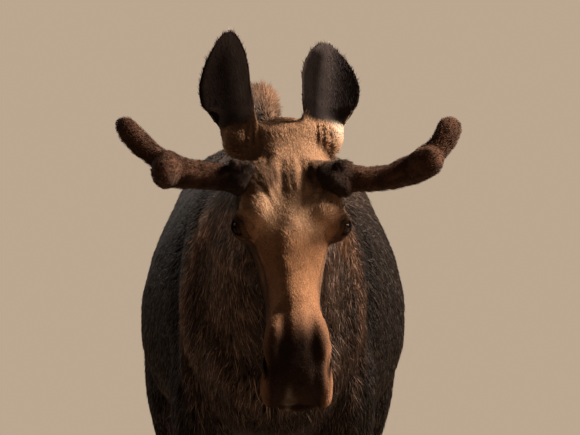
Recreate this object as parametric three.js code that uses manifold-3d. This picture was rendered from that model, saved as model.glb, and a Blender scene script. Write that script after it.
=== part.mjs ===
// A young bull moose in late spring, life size, standing with its head lowered and its first antlers in velvet.
// Millimetres, +Z up. The moose faces -Y, so its left side is +X. The outline is that of the coat, out to the hair tips.
// The body is modelled whole from lofted tubes and then parted into its named pieces by thin cuts.
import * as THREE from "three";
import { LoftGeometry } from "three/addons/geometries/LoftGeometry.js";
import { mergeVertices } from "three/addons/utils/BufferGeometryUtils.js";
import Module from "manifold-3d";

const wasm = await Module();
wasm.setup();

// ---------------------------------------------------------------- driving sizes
const GAP = 0.4; // the thin cut between neighbouring pieces
const FAR = 4000; // larger than the animal
const POLL = new THREE.Vector3(30, -700, 1640); // top of the head between the ears
const HEAD_PITCH = 55; // degrees, how far the nose hangs below the horizontal
const HEAD_YAW = 4; // degrees, the nose turns to the moose's left
const EYE_RADIUS = 20;
const EYE = { x: 97, y: -228, z: -46 }; // centre of an eyeball, in the head's own frame
const FORE_FOOT = { x: 135, y: 10 };
const HIND_FOOT = { x: 170, y: 1196 };
const CORONET = 62; // height of the hoof's upper rim at its middle
const KNEE_CUT = 560;
const HOCK_CUT = 640;

const X = new THREE.Vector3(1, 0, 0);
const Y = new THREE.Vector3(0, 1, 0);
const Z = new THREE.Vector3(0, 0, 1);
const rad = THREE.MathUtils.degToRad;

// ---------------------------------------------------------------- tools
// A closed three.js geometry as a solid that can be joined and cut.
function solid(geometry) {
  const bare = new THREE.BufferGeometry();
  bare.setAttribute("position", geometry.getAttribute("position"));
  bare.setIndex(geometry.index);
  const merged = mergeVertices(bare, 1e-3);
  return new wasm.Manifold(
    new wasm.Mesh({
      numProp: 3,
      vertProperties: merged.attributes.position.array,
      triVerts: new Uint32Array(merged.index.array),
    }),
  );
}

const join = (...solids) => solids.reduce((all, one) => all.add(one));

// One ring of a tube. front and back are its reach along the section's normal, lean makes it wider to the front,
// peak above 1 sharpens the front edge and under 1 flattens it, and cup bends both sides towards the front.
function ring(at, side, normal, [half, front, back, lean, peak, cup], sides, grow) {
  const points = [];
  for (let i = 0; i < sides; i++) {
    const angle = (-2 * Math.PI * i) / sides;
    const across = Math.cos(angle);
    const along = Math.sin(angle);
    const reach = along > 0 ? front : back;
    const round = along > 0 ? peak : 1;
    const share = Math.sign(across) * Math.abs(across) ** round;
    const wide = (half + grow) * (1 + lean * along) * share;
    points.push(
      at
        .clone()
        .addScaledVector(side, wide)
        .addScaledVector(normal, (reach + grow) * along + cup * share * share),
    );
  }
  return points;
}

// A tube through stations [x, y, z, half width, front, back, lean = 0, peak = 1, cup = 0], smooth between them.
// Its sections stand square to the path, or all alike where an upright normal is given.
function tubeGeometry(stations, { sides = 16, steps = 2, side = X, normal = null, grow = 0 } = {}) {
  const rows = stations.map((row) => [...row, 0, 1, 0].slice(0, 9).map((v, i) => row[i] ?? (i === 7 ? 1 : v)));
  const places = rows.map((_, i) => i);
  const between = new THREE.CubicInterpolant(places, rows.flat(), 9);
  const value = (t) => [...between.evaluate(THREE.MathUtils.clamp(t, 0, rows.length - 1))];
  const place = (t) => new THREE.Vector3(...value(t));
  const sections = [];
  const count = (rows.length - 1) * steps;
  for (let i = 0; i <= count; i++) {
    const t = i / steps;
    const path = place(t + 0.05).sub(place(t - 0.05)).normalize();
    const across = normal ? side.clone() : side.clone().addScaledVector(path, -side.dot(path)).normalize();
    const up = normal ? normal.clone() : across.clone().cross(path);
    const beyond = i === 0 ? -grow : i === count ? grow : 0;
    const centre = place(t).addScaledVector(path, beyond);
    sections.push(ring(centre, across, up, value(t).slice(3), sides, grow));
  }
  return new LoftGeometry(sections, { capStart: true, capEnd: true });
}

const tube = (stations, options) => solid(tubeGeometry(stations, options));

// Stations for a tube along Y given as [y, top, bottom, half width, lean, peak], all sections upright.
function profile(rows, x = () => 0) {
  return rows.map(([y, top, bottom, half, lean = 0, peak = 1]) => {
    const deep = (top - bottom) / 2;
    return [x(y), y, (top + bottom) / 2, half, deep, deep, lean, peak];
  });
}

// A ball with its own radius along each axis.
function ball([x, y, z], [rx, ry, rz], grow = 0, around = 20) {
  const geometry = new THREE.SphereGeometry(1, around, around / 2);
  geometry.scale(rx + grow, ry + grow, rz + grow);
  geometry.translate(x, y, z);
  return geometry;
}

// All space on the normal's side of a plane, as a large box.
function halfSpace([point, normal], shift = 0) {
  const box = new THREE.BoxGeometry(FAR, FAR, FAR);
  const out = normal.clone().normalize();
  box.translate(0, 0, FAR / 2 + shift);
  box.applyQuaternion(new THREE.Quaternion().setFromUnitVectors(Z, out));
  box.translate(...point.toArray());
  return solid(box);
}

// Takes the part of a solid within some planes, whose normals point inwards: [that part, the rest], a thin cut apart.
function take(whole, ...planes) {
  const region = planes.map((p) => halfSpace(p)).reduce((all, one) => all.intersect(one));
  const wider = planes.map((p) => halfSpace(p, -GAP)).reduce((all, one) => all.intersect(one));
  return [whole.intersect(region), whole.subtract(wider)];
}

// The largest body of a solid, without the crumbs that a cut can leave.
function largest(whole) {
  const bodies = whole.decompose();
  return bodies.reduce((best, one) => (one.volume() > best.volume() ? one : best));
}

const at = (x, y, z) => new THREE.Vector3(x, y, z);
const mirrored = (stations) => stations.map(([x, ...rest]) => [-x, ...rest]);

// ---------------------------------------------------------------- head, in its own frame: nose along -Y, crown +Z
const headMatrix = new THREE.Matrix4()
  .makeTranslation(POLL)
  .multiply(new THREE.Matrix4().makeRotationZ(rad(HEAD_YAW)))
  .multiply(new THREE.Matrix4().makeRotationX(rad(HEAD_PITCH)));
const pollMatrix = new THREE.Matrix4().makeTranslation(POLL);
const onHead = (x, y, z) => at(x, y, z).applyMatrix4(headMatrix);
const alongHead = (x, y, z) => at(x, y, z).transformDirection(headMatrix);

const SKULL = [
  // y, top, bottom, half width, lean, peak
  [-604, -84, -136, 48, -0.1, 0.7],
  [-593, -58, -148, 62, -0.08, 0.7],
  [-568, -32, -154, 66, -0.06, 0.75],
  [-530, -10, -158, 60, -0.06, 0.8],
  [-485, 2, -162, 60, -0.1, 0.8],
  [-425, -2, -168, 55, -0.1, 0.8],
  [-360, -14, -190, 56, -0.08, 0.72],
  [-300, -14, -216, 65, 0.06, 0.68],
  [-236, -2, -246, 78, 0.26, 0.62],
  [-170, 8, -268, 92, 0.16, 0.68],
  [-100, 6, -268, 97, 0.08, 0.75],
  [-40, -6, -240, 92, 0.05, 0.8],
  [10, -34, -200, 80, 0, 0.85],
  [60, -70, -160, 58],
];

const JAW = [
  [-556, -136, -168, 26],
  [-542, -120, -180, 38],
  [-490, -112, -190, 44],
  [-420, -110, -200, 48],
  [-330, -130, -224, 56],
  [-240, -150, -258, 62],
  [-150, -160, -280, 60],
  [-90, -170, -266, 46],
];

function headForms(grow) {
  const forms = [
    tubeGeometry(profile(SKULL), { sides: 18, steps: 1, normal: Z, grow }),
    tubeGeometry(profile(JAW), { sides: 8, steps: 1, normal: Z, grow }),
    ball([0, -26, -34], [78, 44, 38], grow, 12), // the poll
  ];
  for (const s of [-1, 1]) {
    forms.push(
      ball([s * 65, -202, -24], [46, 40, 30], grow, 10), // brow over the eye
      ball([s * 70, -140, -12], [50, 42, 38], grow, 10), // stalk of the antler
      ball([s * 58, -140, -168], [32, 78, 78], grow, 8), // cheek
      ball([s * 42, -482, -46], [24, 72, 42], grow, 8), // rim of the nostril
    );
  }
  const roots = EARS.map((one) => ball([one.base, 38, -40], [46, 50, one.depth], grow, 8));
  return join(
    ...forms.map((form) => solid(form.applyMatrix4(headMatrix))),
    ...roots.map((form) => solid(form.applyMatrix4(pollMatrix))),
  );
}

// ---------------------------------------------------------------- ears: a cupped leaf that opens to the front
const EAR = [
  // x, y, z, half width, front, back, lean, peak, cup
  [0, 0, -40, 30, 24, 24, 0, 1, 0],
  [0, 0, 0, 40, 20, 22, 0, 1, 10],
  [0, 0, 32, 52, 10, 12, 0, 1, 36],
  [1, 0, 68, 61, 5.5, 6.5, 0, 1, 46],
  [2, 0, 104, 62, 4.5, 5.5, 0, 1, 42],
  [0, 0, 142, 53, 4, 5, 0, 1, 30],
  [2, 0, 174, 37, 4, 4.5, 0, 1, 17],
  [1, 0, 198, 20, 3.5, 4, 0, 1, 6],
  [0, 0, 212, 7, 3, 3, 0, 1, 0],
];

// Each ear's root from the poll, the middle of the muscle at its base, its lean to the left and back, its turn about
// its own length, its stretch in height, and the height of the muscle.
const EARS = [
  { name: "ear_right", root: [-87, 30, -30], base: -98, out: -10, back: 20, turn: -32, tall: 1.04, depth: 50 },
  { name: "ear_left", root: [64, 30, -32], base: 75, out: 4, back: 28, turn: 20, tall: 0.97, depth: 46 },
];

function ear({ root, out, back, turn, tall }) {
  const geometry = tubeGeometry(root[0] < 0 ? mirrored(EAR) : EAR, { sides: 12, steps: 1 });
  geometry.scale(1, 1, tall);
  geometry.rotateZ(rad(turn));
  geometry.rotateX(-rad(back));
  geometry.rotateY(rad(out));
  geometry.translate(...root);
  return solid(geometry.applyMatrix4(pollMatrix));
}

// ---------------------------------------------------------------- antlers in velvet, measured from the poll
// Round stations [x, y, z, radius], or [x, y, z, radius fore and aft, radius up and down].
const rounded = (rows) => rows.map(([x, y, z, r, tall = r]) => [x, y, z, r, tall, tall]);

const ANTLERS = {
  right: {
    beam: [
      [-78, -74, -116, 34, 32],
      [-108, -76, -118, 34, 33],
      [-120, -78, -117, 27],
      [-150, -82, -114, 27, 28],
      [-190, -88, -110, 28, 31],
      [-226, -94, -104, 32, 35],
      [-250, -92, -94, 28, 30],
      [-266, -86, -86, 10],
    ],
    front_tine: [
      [-230, -92, -98, 27, 34],
      [-240, -128, -98, 29, 40],
      [-244, -158, -100, 26, 36],
      [-246, -178, -102, 18, 24],
      [-247, -184, -102, 6, 8],
    ],
    back_tine: [
      [-236, -84, -90, 23],
      [-266, -68, -74, 22],
      [-296, -56, -48, 24],
      [-318, -50, -25, 25],
      [-332, -46, -8, 17],
      [-337, -45, -2, 6],
    ],
  },
  left: {
    beam: [
      [78, -74, -118, 34, 32],
      [112, -76, -122, 34, 33],
      [124, -78, -120, 27],
      [160, -84, -120, 26],
      [205, -92, -114, 27, 26],
      [245, -96, -100, 31],
      [276, -94, -80, 28, 28],
      [292, -90, -68, 11],
    ],
    front_tine: [
      [252, -96, -94, 27, 30],
      [266, -128, -88, 30, 33],
      [280, -154, -81, 28, 31],
      [290, -172, -76, 19, 22],
      [293, -178, -75, 7, 8],
    ],
    back_tine: [
      [262, -88, -84, 25, 26],
      [292, -76, -64, 25],
      [312, -68, -40, 27],
      [322, -62, -18, 26],
      [327, -58, -4, 18],
      [329, -56, 2, 6],
    ],
  },
};

function antlerForm(rows, grow = 0) {
  const path = Math.abs(rows[0][0] - rows.at(-1)[0]) > 60 ? Y : X;
  return solid(
    tubeGeometry(rounded(rows), { sides: 8, steps: 1, side: path, grow }).applyMatrix4(pollMatrix),
  );
}

// ---------------------------------------------------------------- neck, trunk, mane, bell and tail
const midline = (y) => (y < 0 ? POLL.x * Math.min(1, y / POLL.y) ** 1.5 : 0); // the neck bends to the moose's left

const TRUNK = [
  // y, top, bottom, half width, lean, peak
  [-282, 1262, 1110, 60],
  [-256, 1350, 1030, 122, -0.05],
  [-180, 1490, 962, 168, -0.06],
  [-80, 1594, 928, 196, -0.12, 1.05],
  [60, 1614, 908, 226, -0.2, 1.15],
  [230, 1602, 888, 258, -0.22, 1.25],
  [420, 1566, 868, 288, -0.2, 1.1],
  [620, 1542, 864, 300, -0.18, 1.1],
  [800, 1546, 892, 296, -0.13, 1.05],
  [950, 1556, 952, 274, -0.06, 1],
  [1080, 1552, 1030, 248, 0, 1],
  [1200, 1516, 1100, 208, 0, 1],
  [1290, 1448, 1180, 140],
  [1332, 1370, 1260, 56],
];

const NECK = [
  // x, y, z, half width, up, down, lean, peak
  [midline(-640), -640, 1500, 82, 94, 112, -0.05],
  [midline(-560), -560, 1482, 98, 110, 150, -0.08],
  [midline(-440), -440, 1450, 116, 150, 200, -0.08, 1.1],
  [midline(-300), -300, 1408, 140, 196, 256, -0.08, 1.2],
  [midline(-160), -160, 1366, 168, 240, 306, -0.08, 1.25],
  [0, -20, 1336, 190, 270, 330, -0.1, 1.3],
];

const MANE = [
  // y, top, bottom, half width, lean, peak: a crest of long hair from the poll to the hump
  [-664, 1646, 1560, 18],
  [-640, 1664, 1540, 30, 0, 1.5],
  [-520, 1678, 1540, 36, 0, 1.5],
  [-380, 1688, 1540, 38, 0, 1.5],
  [-200, 1700, 1540, 40, 0, 1.5],
  [-20, 1706, 1540, 44, 0, 1.5],
  [140, 1690, 1540, 46, 0, 1.5],
  [290, 1634, 1530, 38, 0, 1.5],
  [390, 1586, 1520, 20],
];

const BELL = [
  // x, y, z, half width, front, back
  [36, -640, 1140, 8, 9, 9],
  [36, -638, 1158, 14, 18, 18],
  [36, -634, 1200, 18, 26, 26],
  [37, -628, 1250, 20, 34, 34],
  [38, -616, 1310, 24, 52, 60],
  [38, -600, 1370, 30, 70, 80],
];

const TAIL = [
  [0, 1346, 1322, 8, 6, 6],
  [0, 1346, 1336, 20, 12, 12],
  [0, 1341, 1378, 28, 17, 17],
  [0, 1316, 1424, 32, 21, 21],
  [0, 1276, 1452, 34, 24, 24],
];

// ---------------------------------------------------------------- legs, from the pastern up
const FORELEG = [
  // x, y, z, half width, front, back, measured from the middle of the foot
  [0, -22, 36, 44, 38, 34],
  [0, -10, 90, 39, 36, 34],
  [0, 6, 130, 33, 33, 36],
  [0, 16, 166, 34, 34, 38],
  [1, 20, 212, 25, 27, 30],
  [2, 22, 310, 23, 25, 29],
  [4, 24, 430, 25, 27, 30],
  [5, 23, 500, 34, 34, 33],
  [6, 22, 548, 40, 41, 36],
  [6, 24, 600, 37, 40, 39],
  [7, 30, 670, 38, 42, 46],
  [9, 36, 760, 47, 56, 64],
  [12, 38, 850, 60, 76, 88],
  [14, 36, 940, 72, 100, 112],
  [10, 14, 1050, 82, 138, 138],
  [-6, -14, 1180, 84, 158, 142],
  [-24, -14, 1310, 74, 140, 130],
  [-44, 10, 1420, 50, 96, 96],
  [-64, 30, 1500, 24, 40, 46],
];

const HINDLEG = [
  [0, -26, 36, 43, 37, 34],
  [0, -16, 90, 38, 35, 34],
  [0, 0, 130, 33, 33, 36],
  [0, 12, 168, 34, 35, 38],
  [0, 20, 216, 26, 28, 31],
  [0, 30, 320, 24, 27, 31],
  [1, 40, 440, 26, 30, 34],
  [2, 47, 525, 31, 36, 42],
  [3, 52, 585, 36, 43, 52],
  [4, 54, 635, 37, 46, 66],
  [5, 46, 690, 33, 44, 70],
  [10, 22, 760, 42, 58, 56],
  [26, -20, 850, 70, 92, 84],
  [30, -70, 940, 88, 136, 122],
  [26, -104, 1030, 100, 170, 162],
  [14, -118, 1130, 104, 186, 188],
  [-4, -112, 1240, 102, 180, 186],
  [-28, -104, 1350, 80, 146, 160],
  [-56, -110, 1440, 48, 84, 96],
];

// Moves a leg's stations over its foot. The stride and the spread fade out towards the body.
function legStations({ rows, foot, s, stride, spread = 0 }) {
  const fade = (z, end) => Math.max(0, 1 - z / end);
  return rows.map(([x, y, z, ...sizes]) => [
    s * (foot.x + x + spread * fade(z, 1300)),
    foot.y + y + stride * fade(z, 950),
    z,
    ...sizes,
  ]);
}

const LEGS = [
  { name: "foreleg_left", rows: FORELEG, foot: FORE_FOOT, s: 1, stride: -58, cut: KNEE_CUT, short: "fore_left" },
  { name: "foreleg_right", rows: FORELEG, foot: FORE_FOOT, s: -1, stride: 46, cut: KNEE_CUT, short: "fore_right" },
  { name: "hind_leg_left", rows: HINDLEG, foot: HIND_FOOT, s: 1, stride: 62, cut: HOCK_CUT, short: "hind_left" },
  { name: "hind_leg_right", rows: HINDLEG, foot: HIND_FOOT, s: -1, stride: -52, spread: 60, cut: HOCK_CUT, short: "hind_right" },
];

const CLAW = [
  // x, y, z, half width, up, down: one toe of a hoof, from its tip to its heel
  [0, -82, 6, 9, 9, 12],
  [0, -66, 16, 18, 22, 24],
  [0, -42, 30, 24, 38, 38],
  [0, -12, 36, 25, 50, 44],
  [0, 24, 34, 23, 42, 42],
  [0, 42, 28, 15, 26, 30],
];

const coronetPlane = (x, y) => [at(x, y - 16, CORONET), at(0, -0.26, 0.97)];

// The inner and outer toe of one foot, cut level with the ground and with the hoof's rim.
function claws(x, y, s) {
  return [-1, 1].map((side) => {
    const geometry = tubeGeometry(CLAW, { sides: 8, steps: 1, normal: Z });
    geometry.rotateZ(rad(-side * 5));
    geometry.translate(x + side * 28, y - 8, 0);
    const [point, normal] = coronetPlane(x, y);
    const below = halfSpace([point, normal.negate()], GAP);
    const cut = solid(geometry).intersect(below).intersect(halfSpace([at(0, 0, 0), Z]));
    return [side === s ? "outer" : "inner", largest(cut)];
  });
}

function dewclaws(x, y, leg) {
  return [-1, 1].map((side) => {
    const geometry = ball([0, 0, 0], [10, 11, 21], 0, 6);
    geometry.rotateX(rad(28));
    geometry.translate(x + side * 19, y + 40, 108);
    return [side, solid(geometry).subtract(leg)];
  });
}

// ---------------------------------------------------------------- the whole body in one solid
function bodyForms(grow) {
  const trunk = tube(profile(TRUNK), { sides: 22, steps: 1, normal: Z, grow });
  const neck = tube(NECK, { sides: 18, steps: 1, grow });
  const mane = tube(profile(MANE, (y) => midline(y) - 32), { sides: 10, steps: 1, normal: Z, grow });
  const bell = tube(BELL, { sides: 8, steps: 1, grow });
  const tail = tube(TAIL, { sides: 8, steps: 1, grow });
  const legs = LEGS.map((leg) =>
    tube(legStations(leg), { sides: 10, steps: 1, grow }),
  );
  return { trunk, neck, mane, bell, tail, legs };
}

const forms = bodyForms(0);
const wide = bodyForms(2 * GAP);
const flesh = join(forms.trunk, forms.neck, ...forms.legs);
const fleshWide = join(wide.trunk, wide.neck, ...wide.legs);
const headSolid = headForms(0);
const headWide = headForms(2 * GAP);

const pieces = new Map();
const place = (name, body, material) => pieces.set(name, { body: largest(body), material });

// Eyes sit in sockets of their own size.
let whole = join(flesh, headSolid);
for (const [name, s] of [["eye_left", 1], ["eye_right", -1]]) {
  const centre = onHead(s * EYE.x, EYE.y, EYE.z).toArray();
  const size = [EYE_RADIUS, EYE_RADIUS, EYE_RADIUS];
  whole = whole.subtract(solid(ball(centre, size, GAP, 12)));
  place(name, solid(ball(centre, size, 0, 12)), "eye");
}

// Nostrils: a hollow on each side of the nose.
for (const s of [-1, 1]) {
  const pit = ball([0, 0, 0], [13, 27, 12], 0, 10);
  pit.rotateX(rad(28));
  pit.translate(s * 70, -560, -52);
  whole = whole.subtract(solid(pit.applyMatrix4(headMatrix)));
}

// Head, muzzle and lower jaw.
const throat = [at(POLL.x, -612, 1545), at(0, -0.97, -0.243)];
const [headPart, body] = take(whole, throat, [at(0, 0, 1000), Z]);
const mouth = [onHead(0, -600, -140), alongHead(0, -0.12, -0.993)];
const cheekEnd = [onHead(0, -96, -215), alongHead(0, -1, 0)];
const [jaw, upperHead] = take(headPart, mouth, cheekEnd);
const [muzzle, head] = take(upperHead, [onHead(0, -400, 0), alongHead(0, -1, 0)]);
place("head", head, "face");
place("muzzle", muzzle, "face");
place("lower_jaw", jaw, "face");

// Neck.
const [neckPart, trunkAndLegs] = take(body, [at(0, -190, 1400), at(0, -0.853, 0.522)]);
place("neck", neckPart, "coat");

// Legs. Each comes off below the trunk, then parts at its knee or hock, and ends at the hoof's rim.
let trunkPart = trunkAndLegs;
for (const leg of LEGS) {
  const sideways = at(leg.s, 0, 0);
  const fore = leg.rows === FORELEG;
  const bounds = fore
    ? [[at(0, 0, 900), at(0, 0, -1)], [at(0, 150, 0), at(0, -1, 0)]]
    : [[at(0, 940, 962), at(0, 0.5, -0.866)], [at(0, 850, 0), Y]];
  const [whole_leg, rest] = take(trunkPart, [at(0, 0, 0), sideways], ...bounds);
  trunkPart = rest;
  const y = leg.foot.y + leg.stride;
  const x = leg.s * (leg.foot.x + (leg.spread ?? 0) * 0.96);
  const onFoot = whole_leg.intersect(halfSpace(coronetPlane(x, y)));
  const [upper, lower] = take(largest(onFoot), [at(0, 0, leg.cut), Z]);
  place(leg.name + "_upper", upper, "coat");
  place(leg.name + "_lower", lower, "shank");
  for (const [which, claw] of claws(x, y, leg.s)) {
    place(`hoof_${leg.short}_${which}`, claw, "hoof");
  }
  const index = LEGS.indexOf(leg);
  for (const [side, dewclaw] of dewclaws(x, y, wide.legs[index])) {
    place(`dewclaw_${leg.short}_${side === leg.s ? "outer" : "inner"}`, dewclaw, "hoof");
  }
}
place("trunk", trunkPart, "coat");

// Mane, bell, tail, ears and antlers stand on the body.
const under = join(fleshWide, headWide);
place("mane", forms.mane.subtract(under), "coat");
place("bell", forms.bell.subtract(under), "coat");
place("tail", forms.tail.subtract(under), "coat");
const underEars = join(under, wide.mane);
for (const one of EARS) place(one.name, ear(one).subtract(underEars), "ear");
for (const [sideName, antler] of Object.entries(ANTLERS)) {
  const beamWide = antlerForm(antler.beam, 2 * GAP);
  const frontWide = antlerForm(antler.front_tine, 2 * GAP);
  place(`antler_${sideName}_beam`, antlerForm(antler.beam).subtract(under), "velvet");
  place(`antler_${sideName}_front_tine`, antlerForm(antler.front_tine).subtract(beamWide), "velvet");
  const back = antlerForm(antler.back_tine).subtract(beamWide).subtract(frontWide);
  place(`antler_${sideName}_back_tine`, back, "velvet");
}

// ---------------------------------------------------------------- materials and the finished group
const finish = (color, roughness) => new THREE.MeshStandardMaterial({ color, roughness, metalness: 0 });
const MATERIALS = {
  coat: finish(0x33261d, 0.85),
  face: finish(0x6b4a34, 0.85),
  shank: finish(0x6e5f50, 0.85),
  ear: finish(0x35302d, 0.85),
  velvet: finish(0x4a2c1e, 0.9),
  hoof: finish(0x1c1816, 0.5),
  eye: finish(0x0c0806, 0.1),
};

// A solid back as three.js geometry.
function geometryOf(body) {
  const mesh = body.getMesh();
  const positions = new Float32Array(mesh.numVert * 3);
  for (let i = 0; i < mesh.numVert; i++) {
    positions.set(mesh.vertProperties.subarray(i * mesh.numProp, i * mesh.numProp + 3), i * 3);
  }
  const geometry = new THREE.BufferGeometry();
  geometry.setAttribute("position", new THREE.BufferAttribute(positions, 3));
  geometry.setIndex(new THREE.BufferAttribute(mesh.triVerts, 1));
  geometry.computeVertexNormals();
  return geometry;
}

const moose = new THREE.Group();
moose.name = "moose";
for (const [name, { body: piece, material }] of pieces) {
  const mesh = new THREE.Mesh(geometryOf(piece), MATERIALS[material]);
  mesh.name = name;
  moose.add(mesh);
}

// The origin is on the ground under the middle of the animal.
const box = new THREE.Box3().setFromObject(moose, true);
const middle = box.getCenter(new THREE.Vector3());
moose.position.set(-Math.round(middle.x), -Math.round(middle.y), 0);

export default moose;
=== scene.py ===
"""A young bull moose in spring coat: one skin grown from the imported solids, under a coat of mesh locks."""

import math

import bmesh
import bpy
import numpy as np
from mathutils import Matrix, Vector


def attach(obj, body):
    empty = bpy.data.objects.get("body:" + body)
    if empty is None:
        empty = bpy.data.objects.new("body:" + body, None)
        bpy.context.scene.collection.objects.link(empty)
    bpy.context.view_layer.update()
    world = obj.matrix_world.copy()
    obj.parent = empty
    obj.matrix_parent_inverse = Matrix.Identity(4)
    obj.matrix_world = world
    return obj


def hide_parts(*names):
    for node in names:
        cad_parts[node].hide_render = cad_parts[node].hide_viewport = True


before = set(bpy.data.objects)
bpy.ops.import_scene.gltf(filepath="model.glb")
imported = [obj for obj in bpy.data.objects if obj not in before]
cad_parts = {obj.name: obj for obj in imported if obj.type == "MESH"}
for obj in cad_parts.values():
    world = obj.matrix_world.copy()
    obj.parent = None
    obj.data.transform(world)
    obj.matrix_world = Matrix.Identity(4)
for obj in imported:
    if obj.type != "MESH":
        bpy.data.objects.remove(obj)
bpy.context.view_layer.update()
rng = np.random.default_rng(7)

# ---------------------------------------------------------------- sizes, in metres, in the row's frame
SHIFT = np.array([-0.030, -0.180, 0.0])  # from the point under the withers to the row's origin
POLL = np.array([0.030, -0.700, 1.640]) + SHIFT  # top of the head between the ears
HEAD_PITCH, HEAD_YAW = math.radians(55), math.radians(4)
EYE = np.array([0.097, -0.228, -0.046])  # centre of the left eyeball in the head's frame
NOSTRIL = np.array([0.062, -0.540, -0.066])  # middle of the left nostril there
STALKS = np.array([[0.070, -0.140, -0.012], [-0.070, -0.140, -0.012]])  # roots of the antlers there
EYE_RADIUS = 0.020
CORNEA = 0.0012  # how much fuller the ball is in front
LID_RADIUS = 0.0228
EYE_LONG, EYE_HIGH = 0.0172, 0.0118  # half length and half height of the opening between the lids
SEAM_Y = -0.677  # where the fine skin of the head joins the skin of the body
SEAM_HALF = 0.006  # half the gap that is zipped there
HEAD_VOXEL, BODY_VOXEL = 0.0032, 0.0075
HEAD_KEPT, BODY_KEPT = 0.46, 0.27  # share of the grid's faces that stays
HOOF_VOXEL, ANTLER_VOXEL = 0.0032, 0.0036
LEGS = [f"{leg}_{side}" for leg in ("foreleg", "hind_leg") for side in ("left", "right")]
FLESH_BODY = ["neck", "trunk", "mane", "tail"]
FLESH_BODY += [f"{leg}_{part}" for leg in LEGS for part in ("upper", "lower")]
FLESH_HEAD = ["head", "muzzle", "lower_jaw", "neck", "mane", "bell"]
MANE_HAIR = 0.034  # how far the hair of the crest stands over its skin
# Borders of the coat's pieces: along the body, up the legs, and down the head's own frame.
HEAD_TO, NECK_TO, SHOULDER_TO, RIBS_TO = -0.58, -0.16, 0.25, 0.85
LEG_TOP, FACE_FROM = 0.90, -0.22
MOST_LOCKS = 33000  # in one piece of the coat, at six triangles each
MANE_DENSE, MANE_WIDTH = 130000, 0.0026  # locks to a square metre and width of each
FUZZ_DENSE, FUZZ_LENGTH, FUZZ_WIDTH, FUZZ_LIFT = 120000.0, 0.0072, 0.00095, 0.62  # the antlers' short hair
LEAF = 72  # rings up an ear and points round each
LEAF_EDGE = 0.7  # power of the sine that rounds an ear's thin ovals
# Each ear's root from the poll, its lean to the left and back and its turn in degrees, and its stretch.
EARS = {
    "left": (np.array([0.064, 0.030, -0.032]), 4, 28, 20, 0.97),
    "right": (np.array([-0.087, 0.030, -0.030]), -10, 20, -32, 1.04),
}
# Rows up an ear: height, half the width, thickness before and behind the middle, and cup.
EAR_ROWS = np.array(
    [
        [-0.040, 0.038, 0.024, 0.024, 0.000],
        [0.000, 0.048, 0.020, 0.022, 0.010],
        [0.032, 0.056, 0.010, 0.012, 0.036],
        [0.068, 0.061, 0.0050, 0.0060, 0.046],
        [0.104, 0.062, 0.0042, 0.0050, 0.042],
        [0.142, 0.053, 0.0038, 0.0045, 0.030],
        [0.174, 0.038, 0.0036, 0.0042, 0.017],
        [0.198, 0.021, 0.0034, 0.0038, 0.006],
        [0.211, 0.007, 0.0030, 0.0030, 0.000],
    ]
)


def turn(axis, angle):
    """The 3x3 matrix of a turn about the X, Y or Z axis: the cosine on the two other places of the
    diagonal, and the sine off it."""
    c, s = math.cos(angle), math.sin(angle)
    rows = {
        "X": [[1, 0, 0], [0, c, -s], [0, s, c]],
        "Y": [[c, 0, s], [0, 1, 0], [-s, 0, c]],
        "Z": [[c, -s, 0], [s, c, 0], [0, 0, 1]],
    }
    return np.array(rows[axis])


HEAD = turn("Z", HEAD_YAW) @ turn("X", HEAD_PITCH)  # head frame to row frame: nose along -Y, crown +Z


def to_head(points):
    """Row coordinates as coordinates in the head's own frame."""
    return (points - POLL) @ HEAD


def from_head(points):
    """Head coordinates as row coordinates."""
    return np.asarray(points) @ HEAD.T + POLL


def ramp(value, low, high):
    """0 below low, 1 above high, and between them 3 t^2 - 2 t^3, with t the share of the way across."""
    t = np.clip((value - low) / (high - low), 0, 1)
    return t * t * (3 - 2 * t)


def bump(value, centre, width):
    """1 at the centre, falling off as exp(-((value - centre) / width)^2)."""
    return np.exp(-(((value - centre) / width) ** 2))


def unit(vectors):
    """Vectors over their own length."""
    return vectors / np.maximum(np.linalg.norm(vectors, axis=-1, keepdims=True), 1e-9)


def wave(points, scale, seed=0):
    """Smooth noise from -1 to 1: a sum of sines along fixed random directions, of the given scale in
    metres."""
    g = np.random.default_rng(seed)
    total = np.zeros(len(points))
    for i in range(6):
        direction = unit(g.normal(size=3)) * (2 * math.pi / scale) * (0.6 + 0.25 * i)
        total += np.sin(points @ direction + g.uniform(0, 6.28)) / (1 + 0.5 * i)
    return total / 2.4


def blend(low, high, share):
    """low and high mixed by a share per row: low plus the share of the way to high."""
    rows = np.asarray(share)
    if rows.ndim == 1 and max(np.ndim(low), np.ndim(high)) == 2:
        rows = rows[:, None]
    return low + (high - low) * rows


def layered(base, *layers):
    """Values laid one over another: each layer is a value and the share by which it covers what lies
    below."""
    for value, share in layers:
        base = blend(base, value, share)
    return base


def along_skin(flow, n):
    """Directions with their part along the normal taken away, at length 1."""
    return unit(flow - n * (flow * n).sum(1)[:, None])


# ---------------------------------------------------------------- meshes and arrays
def arrays(mesh):
    """Vertices and triangles of a mesh."""
    mesh.calc_loop_triangles()
    verts = np.empty(len(mesh.vertices) * 3)
    mesh.vertices.foreach_get("co", verts)
    tris = np.empty(len(mesh.loop_triangles) * 3, dtype=np.int32)
    mesh.loop_triangles.foreach_get("vertices", tris)
    return verts.reshape(-1, 3), tris.reshape(-1, 3)


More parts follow.
